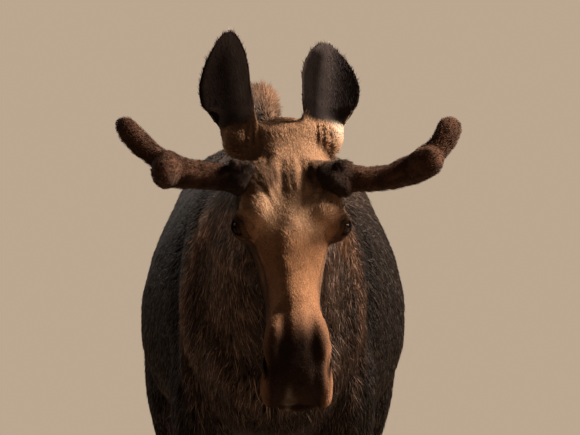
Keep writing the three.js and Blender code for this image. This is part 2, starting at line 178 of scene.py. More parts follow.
def make_object(name, verts, tris, smooth=True):
    """A new object from vertex and triangle arrays."""
    mesh = bpy.data.meshes.new(name)
    mesh.vertices.add(len(verts))
    mesh.vertices.foreach_set("co", np.ascontiguousarray(verts, dtype=np.float32).ravel())
    mesh.loops.add(len(tris) * 3)
    mesh.loops.foreach_set("vertex_index", np.ascontiguousarray(tris, dtype=np.int32).ravel())
    mesh.polygons.add(len(tris))
    mesh.polygons.foreach_set("loop_start", np.arange(len(tris), dtype=np.int32) * 3)
    mesh.polygons.foreach_set("use_smooth", np.full(len(tris), smooth))
    mesh.update(calc_edges=True)
    obj = bpy.data.objects.new(name, mesh)
    bpy.context.scene.collection.objects.link(obj)
    return obj


def normals_of(verts, tris):
    """Vertex normals, each the area-weighted mean of its faces' normals."""
    faces = np.cross(verts[tris[:, 1]] - verts[tris[:, 0]], verts[tris[:, 2]] - verts[tris[:, 0]])
    total = np.zeros_like(verts)
    for axis in range(3):
        for corner in range(3):
            total[:, axis] += np.bincount(tris[:, corner], faces[:, axis], len(verts))
    return unit(total)


def edges_of(tris):
    """Every edge once, as pairs of vertex numbers."""
    pairs = np.sort(np.vstack([tris[:, [0, 1]], tris[:, [1, 2]], tris[:, [2, 0]]]), axis=1).astype(np.int64)
    keys = np.unique(pairs[:, 0] * (int(tris.max()) + 1) + pairs[:, 1])
    return np.stack(np.divmod(keys, int(tris.max()) + 1), axis=1)


def smoothed(values, edges, rounds, weight=1.0, swell=0.0):
    """Each value moved halfway to the mean of its neighbours, times its weight, a number of rounds. With
    a swell every second round moves away from the mean by that much of the step, which keeps a form from
    shrinking."""
    count = len(values)
    a, b = edges[:, 0], edges[:, 1]
    degree = np.maximum(np.bincount(a, minlength=count) + np.bincount(b, minlength=count), 1)
    flat = values.reshape(count, -1).copy()
    share = np.broadcast_to(np.asarray(weight, dtype=float), (count,)) * 0.5
    for turn_number in range(rounds):
        step = -swell * share if turn_number % 2 and swell else share
        for axis in range(flat.shape[1]):
            column = flat[:, axis]
            around = np.bincount(a, column[b], count) + np.bincount(b, column[a], count)
            flat[:, axis] = column + step * (around / degree - column)
    return flat.reshape(values.shape)


def largest(verts, tris):
    """The biggest connected part of a mesh: every vertex takes the lowest number among its neighbours
    until none changes."""
    edges = edges_of(tris)
    label = np.arange(len(verts))
    while True:
        low = np.minimum(label[edges[:, 0]], label[edges[:, 1]])
        new = label.copy()
        np.minimum.at(new, edges[:, 0], low)
        np.minimum.at(new, edges[:, 1], low)
        new = new[new]
        if (new == label).all():
            break
        label = new
    keep = label == np.bincount(label).argmax()
    number = np.cumsum(keep) - 1
    return verts[keep], number[tris[keep[tris[:, 0]]]]


def spline(rows, count):
    """Rows of values made smooth: count rows along the Catmull-Rom curve through them."""
    t = np.linspace(0, len(rows) - 1, count)
    k = np.minimum(t.astype(int), len(rows) - 2)
    f = (t - k)[:, None]
    at = lambda i: rows[np.clip(i, 0, len(rows) - 1)]
    a, b, c, d = at(k - 1), at(k), at(k + 1), at(k + 2)
    return b + 0.5 * f * (c - a + f * (2 * a - 5 * b + 4 * c - d + f * (3 * (b - c) + d - a)))


def ear_turn(side):
    """The matrix that turns an ear's own frame into the row's: across, back, and up its length."""
    _, out, back, about, _ = EARS[side]
    return turn("Y", math.radians(out)) @ turn("X", -math.radians(back)) @ turn("Z", math.radians(about))


def to_ear(points, side):
    """Row coordinates in an ear's own frame, as if it had its plain height."""
    root, tall = EARS[side][0], EARS[side][4]
    return (points - POLL - root) @ ear_turn(side) / [1, 1, tall]


def from_ear(points, side):
    """An ear's own coordinates as row coordinates."""
    return points * [1, 1, EARS[side][4]] @ ear_turn(side).T + POLL + EARS[side][0]


def leaf_depth(across, along, front, back, cup):
    """How far forward an ear's surface lies: its thickness before or behind its middle times a rounded
    sine, and the cup times the square of the place across."""
    return np.where(along > 0, front, back) * np.sign(along) * np.abs(along) ** LEAF_EDGE + cup * across**2


def ear_leaf(side):
    """An ear as a closed leaf: ovals up its length, thin and as wide as EAR_ROWS says, each bent forward
    at both sides by the cup times the square of its place across."""
    rows = spline(EAR_ROWS, LEAF)
    around = np.arange(LEAF) / LEAF * 2 * math.pi
    across, along = np.cos(around), np.sin(around)
    height, half, front, back, cup = (column[:, None] for column in rows.T)
    depth = leaf_depth(across, along, front, back, cup)
    local = np.stack([half * across, -depth, height + 0 * across], -1).reshape(-1, 3)
    local = np.vstack([local, local[:LEAF].mean(0), local[-LEAF:].mean(0)])
    i, j = (part.ravel() for part in np.meshgrid(np.arange(LEAF - 1), np.arange(LEAF), indexing="ij"))
    a, b = i * LEAF + j, i * LEAF + (j + 1) % LEAF
    k, last = np.arange(LEAF), (LEAF - 1) * LEAF
    low, top = np.full(LEAF, len(local) - 2), np.full(LEAF, len(local) - 1)
    tris = np.vstack(
        [
            np.stack([a, b, b + LEAF], 1),
            np.stack([a, b + LEAF, a + LEAF], 1),
            np.stack([low, (k + 1) % LEAF, k], 1),
            np.stack([top, last + k, last + (k + 1) % LEAF], 1),
        ]
    )
    return facing_out(from_ear(local, side), tris)


def on_leaf(verts):
    """Points of the ears moved onto their leaves: in each cross section a point keeps its angle round the
    oval and takes the oval's own radius, and the share of the move grows from the ear's root."""
    rows = spline(EAR_ROWS, 160)
    for side in EARS:
        x, y, z = to_ear(verts, side).T
        half, front, back, cup = (np.interp(z, rows[:, 0], rows[:, k]) for k in (1, 2, 3, 4))
        across = x / half
        depth = -y - cup * across**2
        thick = np.where(depth > 0, front, back)
        about = np.arctan2(np.sign(depth) * (np.abs(depth) / thick) ** (1 / LEAF_EDGE), across)
        across, along = np.cos(about), np.sin(about)
        depth = leaf_depth(across, along, front, back, cup)
        exact = from_ear(np.stack([half * across, -depth, np.minimum(z, rows[-1, 0])], 1), side)
        share = ramp(z, 0.040, 0.070) * (np.linalg.norm(exact - verts, axis=1) < 0.02)
        verts = blend(verts, exact, share)
    return verts


def facing_out(verts, tris):
    """The same closed mesh, its faces turned round if its volume comes out negative."""
    corner = verts[tris] - verts.mean(0)
    volume = (np.cross(corner[:, 0], corner[:, 1]) * corner[:, 2]).sum()
    return verts, tris if volume > 0 else tris[:, ::-1]


def ball(centre, radius, rows=14, cols=20):
    """A sphere as vertices and triangles: a ring of points for each latitude and one point at each pole."""
    lat = np.linspace(0, math.pi, rows + 1)[1:-1]
    lon = np.arange(cols) / cols * 2 * math.pi
    around = [np.outer(np.sin(lat), np.cos(lon)), np.outer(np.sin(lat), np.sin(lon))]
    grid = np.stack([*around, np.outer(np.cos(lat), np.ones(cols))], -1)
    verts = np.vstack([grid.reshape(-1, 3), [[0, 0, 1], [0, 0, -1]]])
    i, j = (part.ravel() for part in np.meshgrid(np.arange(rows - 2), np.arange(cols), indexing="ij"))
    a, b = i * cols + j, i * cols + (j + 1) % cols
    k, last = np.arange(cols), (rows - 2) * cols
    top, low = np.full(cols, len(verts) - 2), np.full(cols, len(verts) - 1)
    tris = np.vstack(
        [
            np.stack([a, a + cols, b + cols], 1),
            np.stack([a, b + cols, b], 1),
            np.stack([top, k, (k + 1) % cols], 1),
            np.stack([low, last + (k + 1) % cols, last + k], 1),
        ]
    )
    return facing_out(verts * radius + np.asarray(centre), tris)


def remeshed(names, voxel, grow=0.0012, ratio=None, extra=(), whole=True):
    """Some CAD nodes, and extra closed meshes, joined into one surface: each node is swollen by grow so
    that they overlap, the mane is lowered by the length of its hair, and all are rebuilt on a grid of
    voxels. A ratio thins the faces where the surface is flat. A whole form keeps its largest body only,
    and not the crumbs."""
    verts, tris, start = [], [], 0
    for name in names:
        v, t = arrays(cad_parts[name].data)
        v, index = np.unique(np.round(v, 6), axis=0, return_inverse=True)
        t = index.reshape(-1)[t]
        verts.append(v + normals_of(v, t) * grow - [0, 0, MANE_HAIR if name == "mane" else 0])
        tris.append(t + start)
        start += len(v)
    for v, t in extra:
        verts.append(v)
        tris.append(t + start)
        start += len(v)
    obj = make_object("remesh", np.vstack(verts), np.vstack(tris))
    modifier = obj.modifiers.new("voxels", "REMESH")
    modifier.mode, modifier.voxel_size = "VOXEL", voxel
    if ratio:
        obj.modifiers.new("thin", "DECIMATE").ratio = ratio
    done = bpy.data.meshes.new_from_object(obj.evaluated_get(bpy.context.evaluated_depsgraph_get()))
    result = arrays(done)
    bpy.data.objects.remove(obj)
    return largest(*result) if whole else result


def cut_at(verts, tris, y, keep):
    """The part of a mesh with y below (keep -1) or above (keep 1) a plane, and its cut rim sorted by
    angle."""
    bm = bmesh.new()
    source = make_object("cut", verts, tris)
    bm.from_mesh(source.data)
    geometry = bm.verts[:] + bm.edges[:] + bm.faces[:]
    plane = {"plane_co": (0, y, 0), "plane_no": (0, -keep, 0)}
    bmesh.ops.bisect_plane(bm, geom=geometry, dist=1e-6, clear_outer=True, **plane)
    bm.to_mesh(source.data)
    bm.free()
    v, t = arrays(source.data)
    bpy.data.objects.remove(source)
    pairs = np.vstack([t[:, [0, 1]], t[:, [1, 2]], t[:, [2, 0]]]).astype(np.int64)
    both = np.sort(pairs, axis=1)
    _, where, times = np.unique(both[:, 0] * len(v) + both[:, 1], return_inverse=True, return_counts=True)
    rim = np.unique(pairs[times[where.reshape(-1)] == 1])
    middle = v[rim].mean(axis=0)
    angle = np.arctan2(v[rim, 2] - middle[2], v[rim, 0] - middle[0])
    return v, t, rim[np.argsort(angle)], np.sort(angle)


def zipped(first, second):
    """Two cut meshes joined by a strip of triangles between their rims. Each rim edge meets the vertex of
    the other rim whose turn it is by angle."""
    (va, ta, ra, aa), (vb, tb, rb, ab) = first, second
    middle = lambda angle: angle + np.diff(np.append(angle, angle[0] + 2 * math.pi)) / 2
    ma, mb = middle(aa), middle(ab)
    rb = rb + len(va)
    next_a, next_b = np.roll(ra, -1), np.roll(rb, -1)
    over_b = rb[np.searchsorted(mb, ma) % len(rb)]
    over_a = ra[np.searchsorted(ma, mb) % len(ra)]
    strip = np.vstack([np.stack([ra, next_a, over_b], 1), np.stack([next_b, rb, over_a], 1)])
    verts = np.vstack([va, vb])
    corner = verts[strip]
    facing = np.cross(corner[:, 1] - corner[:, 0], corner[:, 2] - corner[:, 0])
    outward = corner.mean(axis=1) - corner.reshape(-1, 3).mean(axis=0)
    if (facing * outward).sum() < 0:
        strip = strip[:, ::-1]
    return verts, np.vstack([ta, tb + len(va), strip])


def refined(verts, tris, mask):
    """The mesh with each face whose corners are all in the mask split in four, and its neighbours to
    fit."""
    obj = make_object("refine", verts, tris)
    bm = bmesh.new()
    bm.from_mesh(obj.data)
    bm.edges.ensure_lookup_table()
    chosen = [e for e in bm.edges if mask[e.verts[0].index] and mask[e.verts[1].index]]
    bmesh.ops.subdivide_edges(bm, edges=chosen, cuts=1, use_grid_fill=True)
    bmesh.ops.triangulate(bm, faces=bm.faces[:])
    bm.to_mesh(obj.data)
    bm.free()
    result = arrays(obj.data)
    bpy.data.objects.remove(obj)
    return result


# ---------------------------------------------------------------- the skin
def eye_frame(side):
    """Centre and axes of an eye in the head's frame: along the lids towards the nose, up, and out."""
    centre = EYE * [side, 1, 1]
    out = unit(np.array([side * 0.76, -0.48, 0.43]))
    along = unit(np.array([0, -1, 0.10]) - out * (np.array([0, -1, 0.10]) @ out))
    up = np.cross(out, along) * side
    return centre, along, up if up[2] > 0 else -up, out


def opening(along, up):
    """How far out a point is from the middle of the lids' opening, 1 on its rim: the root of the two
    squared places, each over its half axis, plus 0.9 of their product, which draws the rim to an almond.
    The upper lid is more arched than the lower."""
    high = np.where(up > 0, EYE_HIGH, EYE_HIGH * 0.82)
    return np.sqrt((along / EYE_LONG) ** 2 + (up / high) ** 2 + 0.9 * np.abs(along / EYE_LONG * up / high))


def lids(h):
    """The skin around each eye. The lid is a sphere over the ball that falls away as a line and then a
    parabola with the distance rho from the eye's axis, joined to the face by a soft maximum. The opening
    q parts it: inside, the skin sinks behind the ball, and points near q = 1 are drawn onto the rim.
    Bumps of q make the lid's edge and the fold round it."""
    for side in (1, -1):
        centre, along, up, out = eye_frame(side)
        d = h - centre
        a, b, c = d @ along, d @ up, d @ out
        rho = np.hypot(a, b)
        near = (rho < 0.05) & (np.abs(c) < 0.06) & (d[:, 0] * side > -0.03)
        dome = np.where(
            rho < 0.016,
            np.sqrt(np.maximum(LID_RADIUS**2 - rho**2, 1e-6)),
            0.01624 - (rho - 0.016) * 0.92 - 55 * np.maximum(rho - 0.023, 0) ** 2,
        )
        k = 0.003
        raised = c + np.logaddexp(0, (dome - c) / k) * k
        raised = blend(raised, c, ramp(rho, 0.036, 0.049))
        q = opening(a, b)
        rim = 0.0016 * bump(q, 1.16, 0.12) - 0.0022 * bump(q, 1.72, 0.13)
        rim = rim + 0.0016 * bump(q, 2.05, 0.16) * (b > -0.004)
        inside = np.sqrt(np.maximum(EYE_RADIUS**2 - rho**2, 0)) - 0.006
        new_c = np.where(q < 1, inside, raised + rim)
        snap = np.where((q > 0.72) & (q < 1.0), 0.93 / q, np.where((q >= 1.0) & (q < 1.22), 1.0 / q, 1.0))
        moved = centre + np.outer(a * snap, along) + np.outer(b * snap, up) + np.outer(new_c, out)
        h = np.where(near[:, None], moved, h)
    return h


def nostrils(h, n):
    """Comma-shaped pits on the sides of the nose. q is an ellipse's measure whose axis is bent by the
    square of the place along it: the skin goes in where q is small, and a bump of q raises the wing round
    it."""
    push = np.zeros(len(h))
    for side in (1, -1):
        d = h - NOSTRIL * [side, 1, 1]
        along = unit(np.array([side * -0.25, 0.80, 0.46]))
        across = unit(np.cross(along, [side * 0.9, -0.42, 0.1]))
        a, b = d @ along, d @ across
        b = b + 5.0 * a * a
        q = np.sqrt((a / 0.024) ** 2 + (b / 0.0082) ** 2)
        near = (np.abs(d[:, 0]) < 0.03) & (np.linalg.norm(d, axis=1) < 0.06)
        push += near * (-0.017 * ramp(-q, -1.15, -0.45) + 0.0030 * bump(q, 1.75, 0.45))
    return h + n * push[:, None]


def from_nostril(h, side):
    """How far each point is from the middle of a nostril, its place along the nose counted at 0.55."""
    return np.linalg.norm((h - NOSTRIL * [side, 1, 1]) * [1, 0.55, 1], axis=1)


# Furrows of the forehead: place across, half width and depth, and where they start and end down the face.
FURROWS = (
    (-0.046, 0.0100, 0.0045, -0.080, -0.125),
    (-0.020, 0.0120, 0.0078, -0.110, -0.185),
    (0.020, 0.0110, 0.0040, -0.090, -0.160),
    (-0.034, 0.0045, 0.0026, -0.120, -0.165),
    (0.001, 0.0050, 0.0032, -0.105, -0.180),
    (0.037, 0.0055, 0.0030, -0.115, -0.170),
)


def face_forms(h, n):
    """Brow furrows, burr folds, cheek and tear lines, the mouth line and the swell of the muzzle, as
    pushes along the normal: each is a height times a bump across it and bumps or ramps that end it."""
    x, y, z = h.T
    top = ramp(n[:, 2], 0.1, 0.5)
    side = np.abs(x)
    push = np.zeros(len(h))
    for at, width, deep, start, end in FURROWS:
        reach = ramp(y, end - 0.030, end + 0.025) * ramp(-y, -start - 0.030, -start + 0.025)
        place = x + 0.05 * (y + 0.13)
        push -= deep * bump(place, at, width) * reach * top
        push += 0.45 * deep * bump(place, at + 2.1 * width, width) * reach * top
    push -= 0.006 * bump(side, 0.030, 0.022) * bump(y, -0.250, 0.050) * top  # hollow between brow and nose
    push += 0.004 * bump(x, -0.004, 0.024) * bump(y, -0.360, 0.110) * top  # ridge of the nose
    push -= 0.004 * bump(side, 0.046, 0.014) * bump(y, -0.330, 0.080) * ramp(z, -0.06, -0.02)  # planes by it
    push -= 0.005 * bump(z, -0.085, 0.016) * bump(y, -0.300, 0.060) * (1 - top)  # under the cheekbone
    push += 0.005 * bump(z, -0.060, 0.016) * bump(y, -0.285, 0.060) * (1 - top)  # cheekbone
    push -= 0.003 * bump(y, -0.440, 0.018) * ramp(z, -0.12, -0.06)  # behind the nostril's wing
    front = ramp(-y - 0.55 * z, 0.500, 0.545)
    push -= 0.0075 * front * ramp(-side, -0.052, -0.034) * ramp(z, -0.150, -0.125)  # flat front
    push += 0.0050 * bump(side, 0.058, 0.010) * ramp(-y, 0.480, 0.530) * ramp(z, -0.150, -0.110)  # the wings
    push -= 0.0042 * bump(side, 0.026, 0.013) * bump(y, -0.480, 0.045) * top  # valleys beside the ridge
    push += 0.0042 * bump(side, 0.048, 0.012) * bump(y, -0.497, 0.026) * ramp(z, -0.08, -0.04)  # knolls
    mouth = z + 0.131 + 0.10 * np.maximum(y + 0.50, 0) - 0.012 * bump(y, -0.56, 0.03)
    push -= 0.0075 * bump(mouth, 0, 0.0045) * ramp(-y, 0.415, 0.455)
    lips = ramp(-y, 0.43, 0.50)
    push += 0.0035 * bump(mouth, 0.016, 0.010) * lips + 0.003 * bump(mouth, -0.014, 0.009) * lips
    ripple = np.sin((x * 0.8 + y * 0.6 + z) * 420)
    push += 0.0013 * ripple * bump(side, 0.072, 0.020) * bump(y, -0.135, 0.035) * ramp(z, -0.10, -0.05)
    crease = np.sin((side * 0.9 - y * 0.5) * 300 + 1.2 * np.sin(x * 90))
    push += 0.0012 * crease * bump(side, 0.052, 0.026) * bump(y, -0.175, 0.030) * top  # creases over the brow
    push += 0.0035 * bump(side, 0.066, 0.017) * bump(y, -0.205, 0.020) * top  # knoll over the eye
    for at in (0.058, 0.070, 0.083):  # folds at the root of each ear
        push -= 0.0030 * bump(side, at, 0.0032) * bump(y, -0.030, 0.030) * ramp(z, -0.10, -0.05)
    return h + n * push[:, None]


def neck_edge(z):
    """How far out the raised edge between throat and shoulder runs at each height: 187 mm at 1.19 m, less
    100 mm times the square of the height from there over 0.33 m."""
    return 0.187 - 0.10 * ((z - 1.19) / 0.33) ** 2


def body_forms(p, n):
    """Muscle and bone under the coat: shoulder blade, the edge of the neck, flank, stifle, hip and
    tendons, as pushes along the normal: each is a height times a bump across a slanting line and ramps
    that end it."""
    x, y, z = (p - SHIFT).T
    side = ramp(np.abs(n[:, 0]), 0.25, 0.7)
    push = np.zeros(len(p))
    blade = y + 0.10 - 0.32 * (z - 1.30)  # slants up and back
    push += 0.014 * bump(blade, -0.03, 0.07) * ramp(z, 1.05, 1.18) * ramp(-z, -1.56, -1.45) * side
    push -= 0.012 * bump(blade, 0.12, 0.045) * ramp(z, 1.00, 1.15) * ramp(-z, -1.50, -1.38) * side
    groove = z - 0.35 * (y + 0.35)  # runs forward and down the neck
    push += 0.007 * bump(groove, 1.385, 0.03) * ramp(-y, 0.20, 0.30) * ramp(y, -0.62, -0.5) * side
    edge = np.abs(x) - neck_edge(z)
    front = ramp(-y, 0.16, 0.26) * ramp(-z, -1.46, -1.40) * ramp(z, 0.98, 1.06)
    push += 0.012 * bump(edge, 0.0, 0.011) * front
    push -= 0.013 * bump(edge, 0.030, 0.020) * front
    push -= 0.006 * bump(edge, -0.032, 0.020) * front
    flank = y - 0.86 - 0.25 * (z - 1.2)
    push -= 0.012 * bump(flank, 0.0, 0.055) * ramp(z, 0.98, 1.08) * ramp(-z, -1.45, -1.34) * side
    push += 0.010 * bump(y, 1.02, 0.06) * bump(z, 1.475, 0.035)
    leg = ramp(-z, -0.52, -0.46) * ramp(z, 0.17, 0.24)
    push -= 0.0035 * leg * bump(n[:, 1], 0.25, 0.25) * side  # between cannon bone and tendons
    push += 0.002 * wave(p, 0.40, 3) * ramp(z, 0.95, 1.05)
    return p + n * push[:, None]


def coat_depth(p, h):
    """How deep the skin lies under the hair tips, in metres: from 3.5 mm on the legs to 7.5 mm on the
    body, a fifth of it on the crest, 1.2 to 6.2 mm on the head, and nothing at the antlers and ears."""
    y, z = p[:, 1] - SHIFT[1], p[:, 2]
    depth = blend(0.0035, 0.0075, ramp(z, 0.62, 0.95))
    crest = ramp(z, 1.60, 1.65) * ramp(y, -0.62, -0.45) * ramp(-y, -0.36, -0.20)
    depth = depth * (1 - 0.8 * crest)
    face = 0.0022 + 0.004 * ramp(h[:, 1], -0.12, 0.02)
    face = np.where(h[:, 1] < -0.45, 0.0012, face)
    on_head = ramp(-y, 0.56, 0.66)
    depth = depth + (face - depth) * on_head
    for stalk in STALKS:
        depth = depth * (1 - ramp(-np.linalg.norm(h - stalk, axis=1), -0.065, -0.050))
    above = ramp(z - POLL[2], -0.005, 0.03) * ramp(-y, 0.47, 0.50)
    return depth * (1 - above)


def build_skin():
    """The whole skin: fine on the head, coarser behind, joined in the neck, smoothed, set in by the
    coat's depth and shaped. Returns vertices, triangles and edges."""
    leaves = [ear_leaf("left"), ear_leaf("right")]
    head = cut_at(*remeshed(FLESH_HEAD, HEAD_VOXEL, ratio=HEAD_KEPT, extra=leaves), SEAM_Y - SEAM_HALF, -1)
    body = cut_at(*remeshed(FLESH_BODY, BODY_VOXEL, ratio=BODY_KEPT), SEAM_Y + SEAM_HALF, 1)
    verts, tris = zipped(head, body)
    edges = edges_of(tris)
    y = verts[:, 1] - SHIFT[1]
    is_ear = ramp(verts[:, 2] - POLL[2], 0.012, 0.045) * ramp(-verts[:, 1], 0.64, 0.68)
    is_bell = bump(verts[:, 2], 1.22, 0.10) * ramp(-y, 0.58, 0.61) * ramp(y, -0.70, -0.66)
    fine = verts[:, 1] < SEAM_Y
    weight = np.where(fine, 1 - 0.72 * is_ear, 0.9)
    weight = weight * (1 - 0.8 * np.clip(is_bell, 0, 1) * fine)
    verts = smoothed(verts, edges, 40, np.where(fine, weight, 0))
    verts = smoothed(verts, edges, 60, weight, swell=0.9)
    low = ramp(verts[:, 2], 0.55, 0.9)
    verts = smoothed(verts, edges, 24, np.where(fine, weight, 0.15 + 0.75 * low), swell=0.9)
    y = verts[:, 1] - SHIFT[1]
    crest = ramp(verts[:, 2], 1.48, 1.54) * ramp(y, -0.50, -0.36) * ramp(-y, -0.50, -0.20)
    verts = smoothed(verts, edges, 60, crest, swell=0.55)
    seam = bump(verts[:, 1], SEAM_Y, 0.05) * (1 - is_ear)
    verts = smoothed(verts, edges, 80, np.clip(seam * 1.5, 0, 1), swell=0.85)
    depth = smoothed(coat_depth(verts, to_head(verts)), edges, 6)
    verts = on_leaf(verts - normals_of(verts, tris) * depth[:, None])
    spots = [(np.array([0.0, -0.145, 0.0]), 0.068)]
    for side in (1, -1):
        spots += [(EYE * [side, 1, 1], 0.040), (NOSTRIL * [side, 1, 1], 0.036)]
    for point, reach in spots:  # a finer grid on the brow and around the eyes and nostrils
        close = np.linalg.norm(to_head(verts) - point, axis=1) < reach
        verts, tris = refined(verts, tris, close)
    h = to_head(verts)
    n = normals_of(verts, tris)
    hn = n @ HEAD
    sculpted = from_head(lids(nostrils(face_forms(h, hn), hn)))
    share = ramp(-(verts[:, 1] - SHIFT[1]), 0.50, 0.60)[:, None]
    verts = verts + (sculpted - verts) * share + (body_forms(verts, n) - verts) * (1 - share)
    return verts, tris, edges_of(tris)


# ---------------------------------------------------------------- markings with painted light and shade, shared by the skin and the coat
def srgb(r, g, b):
    """A display colour as linear red, green and blue: c / 12.92 up to 0.04045, and above it ((c + 0.055)
    / 1.055)^2.4."""
    c = np.array([r, g, b]) / 255
    return np.where(c <= 0.04045, c / 12.92, ((c + 0.055) / 1.055) ** 2.4)


DARK = srgb(23, 19, 17)
UNDER = srgb(28, 22, 19)
BACK = srgb(50, 38, 30)
NECK = srgb(55, 44, 38)
CREST = srgb(106, 78, 60)
SHANK = srgb(112, 97, 85)
FOREHEAD = srgb(142, 106, 80)
BROW = srgb(186, 146, 114)
BRIDGE = srgb(140, 98, 69)
CHEEK = srgb(66, 49, 40)
MUZZLE = srgb(110, 77, 57)
NOSE = srgb(25, 20, 18)
LID = srgb(26, 20, 18)
EAR_IN = srgb(60, 51, 48)
EAR_OUT = srgb(62, 47, 40)
EAR_RIM = srgb(38, 30, 27)
PALE = srgb(190, 168, 146)
VELVET = srgb(68, 45, 33)
VELVET_DARK = srgb(30, 21, 17)
HORN = srgb(36, 30, 27)
DUST = srgb(120, 104, 88)
IRIS = srgb(50, 30, 19)
PUPIL = srgb(6, 5, 5)
EYE_RIM = srgb(14, 10, 8)


def markings(p, n):
    """The coat's colour at each point: dark body, paler legs and crest, tan face, brown muzzle, grey
    ears, with painted shade and painted light on the face and ears."""
    x, y, z = (p - SHIFT).T
    front = ramp(-y, 0.02, 0.36)
    edge = np.abs(x) - neck_edge(z)
    inner = ramp(-n[:, 0] * np.sign(x + 1e-9), 0.1, 0.6)
    colour = layered(
        np.tile(DARK, (len(p), 1)),
        (BACK, 0.8 * ramp(z, 1.34, 1.56) * ramp(n[:, 2], 0.1, 0.7)),
        (NECK, front * ramp(-edge, -0.03, 0.01) * ramp(-z, -1.52, -1.42)),
        (CREST, 0.55 * front * bump(edge, 0.0, 0.012) * ramp(-z, -1.48, -1.40) * ramp(z, 1.0, 1.08)),
        (UNDER, ramp(-n[:, 2], 0.2, 0.8) * ramp(z, 0.8, 0.95)),
        (CREST, 0.75 * bump(y, 0.0, 0.22) * ramp(z, 1.50, 1.58) * ramp(n[:, 2], 0.3, 0.8)),
        (SHANK, 0.85 * ramp(-z, -0.86, -0.60)),
        (SHANK * 1.15, 0.5 * inner * ramp(-z, -0.98, -0.80)),
        (face_markings(to_head(p), n @ HEAD), head_share(y, z)),
    )
    for side in EARS:
        colour = blend(colour, ear_markings(p, n, side), ear_share(p, side))
    patch = np.exp(-(((x - 0.138) / 0.016) ** 2 + ((z - 1.625) / 0.026) ** 2)) * ramp(-y, 0.655, 0.675)
    colour = blend(colour, PALE, np.clip(1.1 * patch, 0, 1))
    mottle = 1 + 0.14 * wave(p, 0.09, 11)[:, None] + 0.09 * wave(p, 0.022, 12)[:, None]
    return np.clip(colour * mottle, 0, 1)


def face_markings(h, n):
    """The face's colour in the head's own frame: tan forehead, pale brow, russet bridge, black nose, dark
    lids, and dark cheeks and throat. Painted shade darkens the front of the muzzle, the nostril pits, the
    forehead's furrows and the skin round the antlers' roots, some of it over dark hair."""
    x, y, z = h.T
    top = ramp(n[:, 2], 0.0, 0.60)
    bristle = bump(x, -0.018, 0.006) * ramp(-y - 0.4 * z, 0.60, 0.63)
    blunt = -y - 0.35 * z - 0.9 * np.maximum(np.abs(x) - 0.035, 0)
    face = layered(
        np.tile(CHEEK, (len(h), 1)),
        (FOREHEAD, top * ramp(y, -0.30, -0.22)),
        (BRIDGE, top * ramp(-y, 0.20, 0.29)),
        (FOREHEAD * 0.95, ramp(y, -0.16, -0.08) * ramp(z, -0.12, -0.05)),
        (BROW, 0.8 * bump(y, -0.220, 0.040) * ramp(-np.abs(x), -0.090, -0.050) * top),
        # partly painted shade: the darker brown in the middle of the forehead is partly darker hair and
        # partly shade painted round the furrows
        (CHEEK, 0.55 * (bump(x, -0.016, 0.026) * bump(y, -0.150, 0.045) * top)),
        (MUZZLE, ramp(-y, 0.36, 0.50)),
        # partly painted shade: the nose is dark, and the dark is carried over the whole front of the muzzle,
        # which faces down, where shade falls
        (NOSE, 0.92 * ramp(blunt, 0.458, 0.525) * ramp(-np.abs(x + 0.004), -0.066, -0.046)),
        (PALE * 0.4, 0.4 * bristle),
        (DARK, ramp(-z, 0.13, 0.19) * ramp(y, -0.42, -0.34)),
    )
    for side in (1, -1):
        centre, along, up, out = eye_frame(side)
        d = h - centre
        ring = opening(d @ along, d @ up)
        near = (d @ out > 0).astype(float)
        face = layered(
            face,
            (CHEEK * 0.62, 0.75 * ramp(-ring, -2.6, -1.5) * near),
            (LID, ramp(-ring, -1.32, -1.05) * near),
            # painted shade: the nostril pits are painted near black
            (NOSE * 0.45, ramp(-from_nostril(h, side), -0.020, -0.010)),
        )
    folded = np.stack([np.abs(x), y, z], 1) - EYE
    knoll = np.linalg.norm(folded * [1, 0.7, 1] - [-0.022, 0.016, 0.030], axis=1)
    face = blend(face, FOREHEAD * 1.15, 0.7 * ramp(-knoll, -0.030, -0.012))
    for stalk in STALKS:
        around = np.linalg.norm(h - stalk, axis=1)
        # partly painted shade: the dark patch round each antler's root is partly dark hair at the burr and
        # partly shade under the antler
        face = blend(face, VELVET_DARK * 1.5, 0.75 * ramp(-around, -0.052, -0.040))
    return face


def ear_markings(p, n, side):
    """An ear's colour: grey brown lining with painted shade in its hollow and paler streaks along it, partly
    pale hair and partly painted light, brown back and dark rim. The right ear's lining is painted brighter,
    as painted light."""
    across, _, up = to_ear(p, side).T
    inner = in_ear(p, n, side)
    share = across / np.interp(up, EAR_ROWS[:, 0], EAR_ROWS[:, 1])
    # painted shade: the hollow in each ear is painted near black where shade falls in it
    if side == "left":
        lining, middle = EAR_IN, 0.35
        hollow = 0.9 * ramp(-share, -0.30, 0.42) * inner * ramp(-up, -0.205, -0.17)
    else:
        # painted light: the right ear, out of the key light, gets a lining 4.6 times brighter
        lining, middle = EAR_IN * 4.6, 0.32
        hollow = 0.6 * bump(share, -0.35, 0.42) * inner * ramp(-up, -0.200, -0.15)
    # partly painted light: the paler streaks along the lining are partly pale hair and partly light painted
    # where the lining is in shade
    streak_and_painted_light = bump(share, middle, 0.28) * inner * ramp(up, 0.03, 0.07)
    return layered(
        np.tile(EAR_OUT, (len(p), 1)),
        (lining, inner),
        (EAR_RIM * 0.25, np.minimum(1.15 * hollow, 0.97)),
        (np.minimum(lining * 1.8, 0.3), 0.45 * streak_and_painted_light * (0.6 + 0.4 * np.sin(share * 40))),
        (EAR_RIM, ramp(np.abs(share), 0.86, 0.97)),
    )


